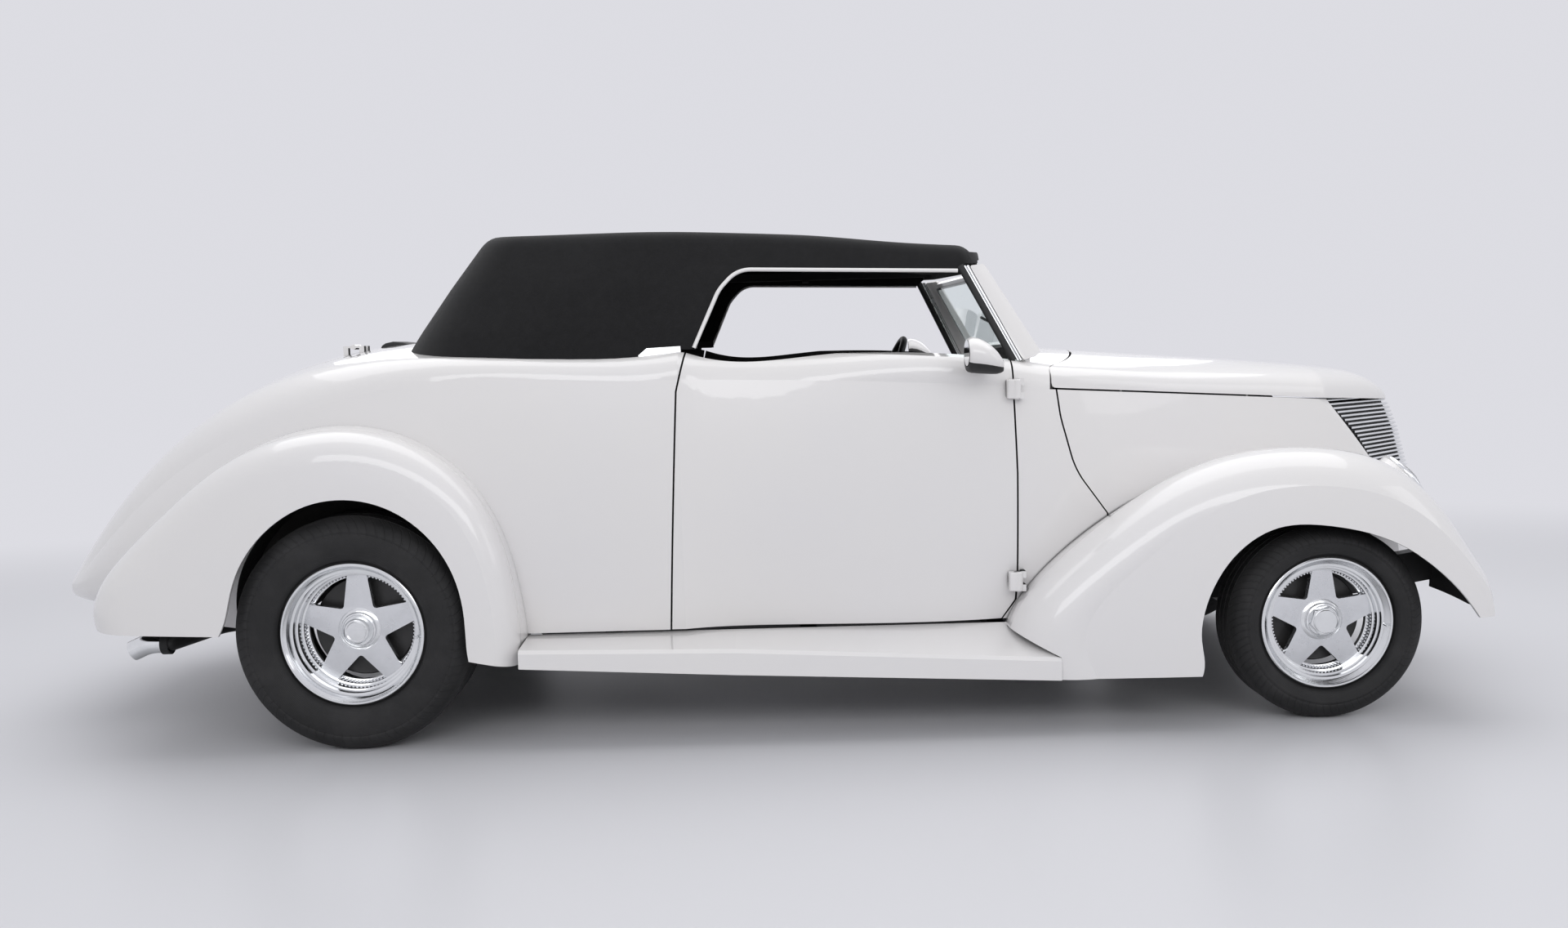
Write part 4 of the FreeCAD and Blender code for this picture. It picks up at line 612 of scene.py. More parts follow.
class Bench:
    """Ways of modelling that all pieces share."""

    @staticmethod
    def start() -> None:
        """Leaves edit mode and lets go of everything."""
        if bpy.context.object is not None and bpy.context.object.mode != "OBJECT":
            bpy.ops.object.mode_set(mode="OBJECT")
        bpy.ops.object.select_all(action="DESELECT")

    @staticmethod
    def name(piece: str) -> bpy.types.Object:
        """Names the piece that was just added and returns it."""
        obj = bpy.context.object
        obj.name = piece
        obj.data.name = piece
        return obj

    @staticmethod
    def hold(obj: bpy.types.Object) -> None:
        """Selects just this piece and makes it active."""
        Bench.start()
        obj.select_set(True)
        bpy.context.view_layer.objects.active = obj

    @staticmethod
    def edit(obj: bpy.types.Object, faces: Callable[[bmesh.types.BMFace], bool] | None = None) -> None:
        """Opens a piece in edit mode with the faces that pass a test selected, or all of them."""
        Bench.hold(obj)
        bpy.ops.object.mode_set(mode="EDIT")
        bpy.ops.mesh.select_mode(type="FACE")
        mesh = bmesh.from_edit_mesh(obj.data)
        for face in mesh.faces:
            face.select_set(faces is None or faces(face))
        mesh.select_flush_mode()
        bmesh.update_edit_mesh(obj.data)

    @staticmethod
    def close() -> None:
        """Goes back to object mode."""
        bpy.ops.object.mode_set(mode="OBJECT")

    @staticmethod
    def modify(obj: bpy.types.Object, kind: str, **settings: object) -> bpy.types.Object:
        """Adds a modifier and applies it."""
        Bench.hold(obj)
        modifier = obj.modifiers.new("work", kind)
        for key, value in settings.items():
            setattr(modifier, key, value)
        bpy.ops.object.modifier_apply(modifier=modifier.name)
        return obj

    @staticmethod
    def bevel(obj: bpy.types.Object, width: float, segments: int = 3,
              degrees: float = 50.0) -> bpy.types.Object:
        """Rounds the edges that are sharper than an angle."""
        return Bench.modify(obj, "BEVEL", width=width, segments=segments, limit_method="ANGLE",
                            angle_limit=math.radians(degrees))

    @staticmethod
    def facing(obj: bpy.types.Object, way: Vector) -> bpy.types.Object:
        """Turns a sheet over if most of it faces away from a direction."""
        if sum(p.normal.dot(way) for p in obj.data.polygons) < 0:
            obj.data.flip_normals()
        return obj

    @staticmethod
    def smooth(obj: bpy.types.Object, degrees: float = 35.0) -> bpy.types.Object:
        """Shades the piece smooth, but sharp across edges steeper than the angle."""
        Bench.hold(obj)
        bpy.ops.object.shade_smooth_by_angle(angle=math.radians(degrees))
        return obj

    @staticmethod
    def outward(obj: bpy.types.Object) -> bpy.types.Object:
        """Merges doubles and turns every face outwards."""
        Bench.edit(obj)
        bpy.ops.mesh.remove_doubles(threshold=0.00002)
        bpy.ops.mesh.normals_make_consistent(inside=False)
        Bench.close()
        return obj

    @staticmethod
    def plate(piece: str, outline: Sequence[tuple[float, float]], y0: float, y1: float) -> bpy.types.Object:
        """Makes a solid from a side-view outline of (x, z) that runs across from y0 to y1."""
        Bench.start()
        bpy.ops.mesh.primitive_circle_add(vertices=len(outline), radius=1.0, fill_type="NGON")
        obj = Bench.name(piece)
        for vertex, (x, z) in zip(obj.data.vertices, outline):
            vertex.co = (x, y0, z)
        Bench.edit(obj)
        bpy.ops.mesh.extrude_region_move(TRANSFORM_OT_translate={"value": (0.0, y1 - y0, 0.0)})
        bpy.ops.mesh.select_all(action="SELECT")
        bpy.ops.mesh.normals_make_consistent(inside=False)
        Bench.close()
        return obj

    @staticmethod
    def lathe(piece: str, profile: Sequence[tuple[float, float]], centre: Point, axis: Point = (0, 1, 0),
              steps: int = 96) -> bpy.types.Object:
        """Spins a profile about an axle.

        Args:
            piece: Name of the piece.
            profile: A closed run of points as (distance along the axis from the centre, radius).
            centre: A point on the axis.
            axis: The axis's direction.
            steps: Facets round the piece.

        Returns:
            The spun piece.
        """
        Bench.start()
        bpy.ops.mesh.primitive_circle_add(vertices=max(3, len(profile)), radius=1.0, fill_type="NOTHING")
        obj = Bench.name(piece)
        way = Vector(axis).normalized()
        out = way.orthogonal().normalized() if abs(way.y) < 0.9 else Vector((0, 0, 1))
        middle = Vector(centre)
        for vertex, (along, radius) in zip(obj.data.vertices, profile):
            vertex.co = middle + way * along + out * radius
        Bench.hold(obj)
        bpy.ops.object.mode_set(mode="EDIT")
        bpy.ops.mesh.select_all(action="SELECT")
        bpy.ops.mesh.spin(steps=steps, dupli=False, angle=2.0 * math.pi, center=middle, axis=way)
        bpy.ops.mesh.select_all(action="SELECT")
        bpy.ops.mesh.remove_doubles(threshold=0.00003)
        bpy.ops.mesh.normals_make_consistent(inside=False)
        Bench.close()
        return obj

    @staticmethod
    def tube(piece: str, path: Sequence[Point], radius: float, closed: bool = False,
             flat: float = 1.0, resolution: int = 4) -> bpy.types.Object:
        """Runs a round or flattened bead along a path.

        Args:
            piece: Name of the piece.
            path: Points the bead follows.
            radius: The bead's radius.
            closed: Whether the bead joins itself.
            flat: How thick the bead is for its width; 1 is round.
            resolution: Roundness of the bead.

        Returns:
            The bead as a mesh.
        """
        Bench.start()
        curve = bpy.data.curves.new(piece, "CURVE")
        curve.dimensions = "3D"
        curve.bevel_depth = radius
        curve.bevel_resolution = resolution
        curve.use_fill_caps = not closed
        spline = curve.splines.new("POLY")
        spline.points.add(len(path) - 1)
        for point, place in zip(spline.points, path):
            point.co = (*place, 1.0)
        spline.use_cyclic_u = closed
        obj = bpy.data.objects.new(piece, curve)
        bpy.context.scene.collection.objects.link(obj)
        Bench.hold(obj)
        bpy.ops.object.convert(target="MESH")
        obj = bpy.context.object
        if flat != 1.0:
            for vertex in obj.data.vertices:
                nearest = min(path, key=lambda p: (Vector(p) - vertex.co).length)
                vertex.co.y = nearest[1] + (vertex.co.y - nearest[1]) * flat
        Bench.outward(obj)
        return Bench.smooth(obj, 50.0)

    @staticmethod
    def mesh(piece: str, points: Sequence[Point], faces: Sequence[Sequence[int]]) -> bpy.types.Object:
        """Makes a sheet from its points and faces."""
        Bench.start()
        data = bpy.data.meshes.new(piece)
        data.from_pydata([tuple(p) for p in points], [], [tuple(f) for f in faces])
        obj = bpy.data.objects.new(piece, data)
        bpy.context.scene.collection.objects.link(obj)
        return obj

    @staticmethod
    def cut(obj: bpy.types.Object, *tools: bpy.types.Object) -> bpy.types.Object:
        """Cuts tools out of a piece and throws the tools away."""
        for tool in tools:
            Bench.modify(obj, "BOOLEAN", operation="DIFFERENCE", solver="EXACT", object=tool)
            bpy.data.objects.remove(tool)
        return obj

    @staticmethod
    def joined(pieces: Sequence[bpy.types.Object], piece: str) -> bpy.types.Object:
        """Joins several meshes into the first one and names it."""
        Bench.start()
        for obj in pieces:
            obj.select_set(True)
        bpy.context.view_layer.objects.active = pieces[0]
        bpy.ops.object.join()
        return Bench.name(piece)

    @staticmethod
    def mirrored(obj: bpy.types.Object, piece: str) -> bpy.types.Object:
        """Copies a piece to the other side of the car with its own mesh."""
        Bench.start()
        twin = obj.copy()
        twin.data = obj.data.copy()
        twin.name = piece
        bpy.context.scene.collection.objects.link(twin)
        twin.data.transform(Matrix.Diagonal((1.0, -1.0, 1.0, 1.0)))
        twin.data.flip_normals()
        return twin


def mount(piece: bpy.types.Object, finish: Finish, body: str = BODY, node: str = "") -> None:
    """Dresses one piece and fixes it to a body.

    Args:
        piece: The piece.
        finish: Its finish.
        body: What carries it.
        node: The CAD node that it stands for, if any.
    """
    finish.cover(piece)
    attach(piece, body)
    if node:
        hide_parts(node)


def mount_pair(piece: bpy.types.Object, finish: Finish, bodies: tuple[str, str] = (BODY, BODY),
               nodes: Sequence[str] = ("",)) -> None:
    """Fixes a right-hand piece and its mirrored twin, and adds the side to their names.

    Args:
        piece: The right-hand piece.
        finish: Its finish.
        bodies: What carries the right one and the left one.
        nodes: The CAD node that both stand for, or one for each.
    """
    stem = piece.name
    twin = Bench.mirrored(piece, stem + "_left")
    piece.name = stem + "_right"
    mount(piece, finish, bodies[0], nodes[0])
    mount(twin, finish, bodies[1], nodes[-1])


# ------------------------------------------------------------------ studio
@dataclass
class Studio:
    """Pale floor, soft lamps and the camera."""

    eye: Point = (-0.00233, -4.78394, 1.14777)
    yaw: float = 0.5884
    pitch: float = 5.0
    roll: float = 1.468
    lens: float = 31.75
    floor: Colour = (0.70, 0.70, 0.73)
    wall: Colour = (0.72, 0.72, 0.765)
    fade: tuple[float, float] = (1.6, 5.0)
    air: float = 0.60
    lamps: tuple[tuple[str, tuple[float, float], Point, Point, float], ...] = (
        ("ceiling", (7.0, 3.0), (0.0, 0.3, 3.6), (0.0, 0.0, 0.6), 78.0),
        ("near_side", (7.0, 1.6), (0.3, -5.2, 2.9), (0.0, 0.0, 0.6), 74.0),
        ("far_side", (7.0, 1.6), (0.0, 5.2, 2.9), (0.0, 0.0, 0.6), 35.0),
        ("nose_side", (2.0, 2.0), (5.2, -1.8, 2.4), (1.6, 0.0, 0.6), 10.0))

    def camera(self) -> None:
        """Sets up the camera at eye height on the car's right."""
        yaw, pitch, roll = (math.radians(v) for v in (self.yaw, self.pitch, self.roll))
        ahead = Vector((math.sin(yaw) * math.cos(pitch), math.cos(yaw) * math.cos(pitch), -math.sin(pitch)))
        level = Vector((math.cos(yaw), -math.sin(yaw), 0.0))
        below = ahead.cross(level)
        right = level * math.cos(roll) + below * math.sin(roll)
        up = level * math.sin(roll) - below * math.cos(roll)
        data = bpy.data.cameras.new("camera")
        data.sensor_width = 36.0
        data.lens = self.lens
        data.clip_start = 0.05
        data.clip_end = 200.0
        obj = bpy.data.objects.new("camera", data)
        bpy.context.scene.collection.objects.link(obj)
        obj.matrix_world = Matrix((right, up, -ahead)).transposed().to_4x4()
        obj.location = self.eye
        bpy.context.scene.camera = obj

    def lamp(self, name: str, size: tuple[float, float], place: Point, aim: Point, watts: float) -> None:
        """Hangs one soft rectangular lamp.

        Args:
            name: The lamp's name.
            size: Its two sides.
            place: Where it hangs.
            aim: What it points at.
            watts: Its power.
        """
        data = bpy.data.lights.new(name, "AREA")
        data.shape = "RECTANGLE"
        data.size, data.size_y = size
        data.energy = watts
        obj = bpy.data.objects.new(name, data)
        bpy.context.scene.collection.objects.link(obj)
        obj.location = place
        obj.rotation_euler = (Vector(aim) - Vector(place)).to_track_quat("-Z", "Y").to_euler()

    def world(self) -> None:
        """Lights the air evenly and shows a pale wall behind."""
        world = bpy.data.worlds.new("studio")
        bpy.context.scene.world = world
        world.use_nodes = True
        tree = world.node_tree
        tree.nodes.clear()
        path = tree.nodes.new("ShaderNodeLightPath")
        seen = tree.nodes.new("ShaderNodeMath")
        seen.operation = "MAXIMUM"
        tree.links.new(path.outputs["Is Camera Ray"], seen.inputs[0])
        tree.links.new(path.outputs["Is Transmission Ray"], seen.inputs[1])
        gloss = tree.nodes.new("ShaderNodeMath")
        gloss.operation = "MAXIMUM"
        tree.links.new(seen.outputs[0], gloss.inputs[0])
        tree.links.new(path.outputs["Is Glossy Ray"], gloss.inputs[1])
        air = tree.nodes.new("ShaderNodeBackground")
        air.inputs["Color"].default_value = (0.96, 0.97, 1.0, 1.0)
        air.inputs["Strength"].default_value = self.air
        wall = tree.nodes.new("ShaderNodeBackground")
        wall.inputs["Color"].default_value = (*self.wall, 1.0)
        wall.inputs["Strength"].default_value = 1.0
        both = tree.nodes.new("ShaderNodeMixShader")
        tree.links.new(gloss.outputs[0], both.inputs[0])
        tree.links.new(air.outputs[0], both.inputs[1])
        tree.links.new(wall.outputs[0], both.inputs[2])
        out = tree.nodes.new("ShaderNodeOutputWorld")
        tree.links.new(both.outputs[0], out.inputs[0])

    def ground(self) -> None:
        """Lays the floor and dresses it pale, with the car's shadow kept."""
        Bench.start()
        bpy.ops.mesh.primitive_plane_add(size=60.0, location=(0.0, 0.0, 0.0))
        floor = Bench.name("floor")
        Bench.modify(floor, "SUBSURF", levels=1, render_levels=1, subdivision_type="SIMPLE")
        graph = Graph("studio_floor")
        cloud = graph.noise(0.8, 3.0, 0.5)
        colour = graph.blend(cloud * 0.4, self.floor, tuple(c * 1.03 for c in self.floor))
        graph.surface(Base_Color=colour, Roughness=0.32 + cloud * 0.06, Specular_IOR_Level=0.35)
        near = graph.output.inputs[0].links[0].from_socket
        x, y, _ = graph.axes()
        away = (x * x * 0.35 + y * y).ease(self.fade[0] ** 2, self.fade[1] ** 2)
        path = graph.add("LightPath")
        seen = graph.math("MAXIMUM", Wire(graph, path.outputs["Is Camera Ray"]),
                          Wire(graph, path.outputs["Is Glossy Ray"]))
        seen = graph.math("MAXIMUM", seen, Wire(graph, path.outputs["Is Transmission Ray"]))
        wall = graph.add("Emission", None, {"Color": (*self.wall, 1.0), "Strength": 1.0})
        both = graph.add("MixShader", None, {0: away * seen})
        graph.tree.links.new(near, both.inputs[1])
        graph.tree.links.new(wall.outputs[0], both.inputs[2])
        graph.tree.links.new(both.outputs[0], graph.output.inputs[0])
        floor.data.materials.append(graph.material)

    def build(self) -> None:
        """Sets up everything that isn't the car."""
        self.camera()
        self.world()
        for lamp in self.lamps:
            self.lamp(*lamp)
        self.ground()
        bpy.context.scene.view_settings.view_transform = "Standard"


# ------------------------------------------------------------------ painted body
@dataclass
class Bodywork:
    """The painted panels."""

    panels: tuple[str, ...] = ("cowl", "rear_body", "nose_panel", "hood", "trunk_lid", "door_right",
                               "door_left")
    trims: tuple[str, ...] = ("running_boards",)

    def dress(self) -> None:
        """Paints the panels, fenders and boards."""
        PAINT.dress(*self.panels)
        PAINT_TRIM.dress(*self.trims)
        PAINT_REAR_FENDER.dress("rear_fenders")
        PAINT_FRONT_FENDER.dress("front_fenders")


# ------------------------------------------------------------------ cloth top
@dataclass
class ClothTop:
    """The stretched canvas top with its mouldings, frame and quarter plates."""

    rows: tuple[tuple[float, ...], ...] = (
        (1.060, 0.044, 0.702, 0.668, 0.300, 2.050, 2.150), (1.200, 0.142, 0.674, 0.630, 0.230, 1.985, 2.075),
        (1.340, 0.245, 0.628, 0.580, 0.170, 1.879, 1.962), (1.540, 0.392, 0.545, 0.500, 0.120, 1.776, 1.854))
    roof: tuple[tuple[float, float, float], ...] = (
        (-0.10, 1.450, 1.490), (0.38, 1.462, 1.511), (0.90, 1.466, 1.515), (1.30, 1.446, 1.499),
        (1.70, 1.408, 1.463), (2.20, 1.370, 1.426))
    bows: tuple[float, ...] = (0.40, 0.873, 1.373, 1.845)
    sag: float = 0.005
    turn: float = 0.034
    cloth: float = 0.004
    across: int = 28
    opening: tuple[tuple[float, float], ...] = (
        (1.002, 1.040), (1.002, 1.140), (1.078, 1.310), (1.135, 1.371), (1.800, 1.352), (1.826, 1.374),
        (2.300, 1.374), (2.300, 1.040))
    opening_radii: tuple[float, ...] = (0.0, 0.06, 0.12, 0.09, 0.0, 0.0, 0.0, 0.0)
    plate: tuple[tuple[float, float], ...] = ((0.838, 1.04), (0.838, 1.122), (0.862, 1.142), (0.962, 1.146),
                                              (0.962, 1.04))
    head: tuple[tuple[float, float], ...] = ((0.95, 1.04), (0.95, 1.136), (1.1, 1.136), (1.1, 1.04))
    middle_x: float = 0.98
    first_height: float = 1.45
    turn_steps: int = 4
    levels: int = 15
    hem: tuple[float, float] = (1.150, 1.092)
    hem_start: float = 0.15
    hem_run: float = 0.35
    front_run: float = 0.4
    cut_half: float = 0.9

    def __post_init__(self) -> None:
        """Draws the rings in plan and finds their places along the right side."""
        self.rings = [self.ring(row) for row in self.rows]
        self.side = len(self.row_points(self.rows[0]))
        self.first_side, self.last_side = self.across + 1, self.across + self.side - 1

    def row_points(self, row: Sequence[float]) -> list[tuple[float, float]]:
        """Gives one plan section's right side, from the rear edge round to the middle of the front.

        Args:
            row: Height, rear x, half width, front half width, corner radius, front x and tip x.

        Returns:
            The points, the same number for every row.
        """
        _, rear, half, narrow, radius, front, tip = row
        corner = [(rear, 0.0), (rear, -half * 0.93), (rear + 0.42, -half)]
        arc = rounded(corner, (0.0, radius, 0.0), False, 12)[1:-1]
        run = [(mix(arc[-1][0], rear + 0.42, k / 4), mix(arc[-1][1], -half, k / 4)) for k in range(1, 5)]
        nose = rounded([(rear + 0.42, -half), (front, -narrow), (tip, 0.0)], (0.0, 0.05, 0.0), False, 5)[1:-1]
        side = [(mix(run[-1][0], nose[0][0], k / 30), mix(run[-1][1], nose[0][1], k / 30))
                for k in range(1, 30)]
        return arc + run + side + nose

    def ring(self, row: Sequence[float]) -> list[tuple[float, float]]:
        """Closes a row's right side into a ring: rear edge, left side, front edge, right side."""
        right = self.row_points(row)
        tip = row[6]
        n = self.across
        y0 = right[0][1]
        rear = [(row[1], mix(y0, -y0, k / n)) for k in range(n + 1)]
        left = [(x, -y) for x, y in right[1:]]
        end = right[-1]
        front = []
        for k in range(1, n):
            share = abs(1.0 - 2.0 * k / n)
            side = 1.0 if k < n / 2 else -1.0
            front.append((mix(tip, end[0], share), side * abs(end[1]) * share))
        back = list(reversed(right[1:]))
        return rear + left + front + back

    def spline(self, x: float, column: int) -> float:
        """Reads a roof column at a place along the car, smoothly."""
        rows = self.roof
        for i in range(len(rows) - 1):
            if x <= rows[i + 1][0] or i == len(rows) - 2:
                low, high = rows[i], rows[i + 1]
                before = rows[max(0, i - 1)]
                after = rows[min(len(rows) - 1, i + 2)]
                span = high[0] - low[0]
                share = (x - low[0]) / span
                start = (high[column] - before[column]) / max(high[0] - before[0], 1e-6) * span
                end = (after[column] - low[column]) / max(after[0] - low[0], 1e-6) * span
                s2, s3 = share * share, share ** 3
                return ((2 * s3 - 3 * s2 + 1) * low[column] + (s3 - 2 * s2 + share) * start
                        + (3 * s2 - 2 * s3) * high[column] + (s3 - s2) * end)
        return rows[-1][column]

    def roof_z(self, x: float, y: float) -> float:
        """Height of the roof over a place in plan."""
        edge, crown = self.spline(x, 1), self.spline(x, 2)
        rise = crown - edge
        radius = (0.64 + rise * rise) / (2.0 * rise)
        return crown - (radius - math.sqrt(radius * radius - y * y))

    def wall(self, index: int, z: float) -> Vector:
        """A point of the side wall at a ring place and height."""
        rings = self.rings
        for (low, a), (high, b) in zip(zip(self.rows, rings), zip(self.rows[1:], rings[1:])):
            if z <= high[0] or high is self.rows[-1]:
                share = (z - low[0]) / (high[0] - low[0])
                return Vector((mix(a[index][0], b[index][0], share), mix(a[index][1], b[index][1], share), z))
        return Vector((*rings[-1][index], z))

    def wall_y(self, x: float, z: float) -> float:
        """Distance of the side wall from the middle at a place in side view."""
        best = min(range(self.first_side, self.last_side), key=lambda i: abs(self.wall(i, z).x - x))
        here = self.wall(best, z)
        other = self.wall(best + (1 if here.x < x else -1), z)
        share = 0.0 if abs(other.x - here.x) < 1e-9 else (x - here.x) / (other.x - here.x)
        return abs(mix(here.y, other.y, max(0.0, min(1.0, share))))

    def slack(self, x: float, y: float) -> float:
        """How far the cloth hangs below the form between two bows."""
        for low, high in zip(self.bows, self.bows[1:]):
            if low < x < high:
                wave = math.sin(math.pi * (x - low) / (high - low)) ** 2
                return self.sag * wave * (1.0 - min(1.0, abs(y) / 0.56) ** 4)
        return 0.0

    def eaves(self) -> tuple[list[Vector], list[Vector], list[Vector]]:
        """Finds the turned edge all round.

        Returns:
            The turn's places on the roof, at its corner and on the wall, one for each ring place.
        """
        count = len(self.rings[0])
        tops, bends, knees = [], [], []
        for i in range(count):
            z = self.first_height
            for _ in range(14):
                place = self.wall(i, z)
                z = self.roof_z(place.x, place.y)
            tops.append(self.wall(i, z))
        for i in range(count):
            ahead = tops[(i + 1) % count] - tops[i - 1]
            inward = Vector((ahead.y, -ahead.x, 0.0)).normalized()
            middle = Vector((self.middle_x - tops[i].x, -tops[i].y, 0.0))
            if inward.dot(middle) < 0 and abs(inward.y) < 0.1:
                inward = -inward
            if inward.y * tops[i].y > 0 and abs(inward.y) > 0.1:
                inward = -inward
            knee = tops[i] + inward * self.turn
            knee.z = self.roof_z(knee.x, knee.y)
            knees.append(knee)
            bends.append(self.wall(i, tops[i].z - self.turn))
        return knees, tops, bends

    def crown(self, knees: Sequence[Vector]) -> tuple[list[Vector], list[tuple[int, ...]]]:
        """Spans the roof between its turned edges.

        Args:
            knees: The edge all round, one point for each ring place.

        Returns:
            The roof's points, row by row from the rear, and its faces.
        """
        n, side, count = self.across, self.side, len(knees)
        points: list[Vector] = []
        faces: list[tuple[int, ...]] = []
        right = [knees[0]] + [knees[count - k] for k in range(1, side)]
        left = [knees[n + k] for k in range(side)]
        front = [left[-1]] + [knees[n + side - 1 + k] for k in range(1, n)] + [right[-1]]
        front.reverse()
        rear = [knees[k] for k in range(n + 1)]
        for i in range(side):
            w_front = smooth((right[i].x - (right[-1].x - self.front_run)) / self.front_run)
            for j in range(n + 1):
                share = j / n
                flat = right[i].lerp(left[i], share)
                flat += (front[j] - right[-1].lerp(left[-1], share)) * w_front
                if i == 0:
                    flat = rear[j].copy()
                flat.z = self.roof_z(flat.x, flat.y) - self.slack(flat.x, flat.y)
                points.append(flat)
        for i in range(side - 1):
            for j in range(n):
                a = i * (n + 1) + j
                faces.append((a, a + n + 1, a + n + 2, a + 1))
        return points, faces

    def sheet(self) -> bpy.types.Object:
        """Makes the canvas as one curved sheet over the bows, then cuts its openings."""
        n, side, count = self.across, self.side, len(self.rings[0])
        knees, tops, bends = self.eaves()
        points, faces = self.crown(knees)
        last = list(range(n + 1)) + [i * (n + 1) + n for i in range(1, side)]
        last += [(side - 1) * (n + 1) + j for j in range(n - 1, 0, -1)]
        last += [i * (n + 1) for i in range(side - 1, 0, -1)]
        wall_step = self.turn_steps + 1
        for step in range(1, wall_step + self.levels):
            base = len(points)
            for i in range(count):
                if step < wall_step:
                    share = step / wall_step
                    point = knees[i] * (1 - share) ** 2 + tops[i] * 2 * share * (1 - share)
                    point += bends[i] * share ** 2
                else:
                    low = mix(*self.hem, smooth((tops[i].x - self.hem_start) / self.hem_run))
                    z = mix(bends[i].z, low, (step - wall_step) / (self.levels - 1))
                    point = self.wall(i, z)
                points.append(point)
            for i in range(count):
                j = (i + 1) % count
                faces.append((last[i], last[j], base + j, base + i))
            last = [base + i for i in range(count)]
        points = [Vector((fore(p.x), p.y, p.z)) for p in points]
        obj = Bench.mesh("cloth_top", points, faces)
        self.lay_threads(obj)
        Bench.outward(obj)
        Bench.modify(obj, "SOLIDIFY", thickness=self.cloth, offset=-1.0)
        window = rounded(self.opening, self.opening_radii)
        Bench.cut(obj, *(Bench.plate(name, [(fore(x), z) for x, z in outline], -self.cut_half, self.cut_half)
                         for name, outline in (("window_cut", window), ("plate_cut", self.plate),
                                               ("head_cut", self.head))))
        return Bench.smooth(obj, 40.0)

    def lay_threads(self, obj: bpy.types.Object) -> None:
        """Gives the sheet a UV map in metres that its weave follows."""
        layer = obj.data.uv_layers.new(name="threads")
        for polygon in obj.data.polygons:
            flat = abs(polygon.normal.z) > 0.75
            sideways = abs(polygon.normal.y) > abs(polygon.normal.x)
            for index in polygon.loop_indices:
                co = obj.data.vertices[obj.data.loops[index].vertex_index].co
                across = co.y if flat else (co.x if sideways else co.y)
                layer.data[index].uv = (co.x, across) if flat else (across, co.z)

    def moulding(self) -> bpy.types.Object:
        """Runs the white drip moulding round the window opening."""
        corners = self.opening[1:5]
        edge = rounded(corners, (0.0, 0.12, 0.09, 0.0), False, 8)
        dense: list[tuple[float, float]] = []
        for a, b in zip(edge, edge[1:]):
            runs = max(1, int((Vector(b) - Vector(a)).length / 0.03))
            dense += [(mix(a[0], b[0], k / runs), mix(a[1], b[1], k / runs)) for k in range(runs)]
        dense.append(edge[-1])
        path = [(fore(x), -(self.wall_y(x, z) + 0.0015), z) for x, z in dense]
        return Bench.tube("drip_moulding_right", path, 0.0062, resolution=3)

    def build(self) -> None:
        """Makes and dresses the top."""
        cloth = self.sheet()
        mount(cloth, CANVAS, node="soft_top")
        right = self.moulding()
        left = Bench.mirrored(right, "drip_moulding_left")
        for bead in (right, left):
            PAINT_TRIM.cover(bead)
            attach(bead, BODY)
        TRIM_BLACK.dress("top_frame")
        ALUMINIUM.dress("quarter_trims")


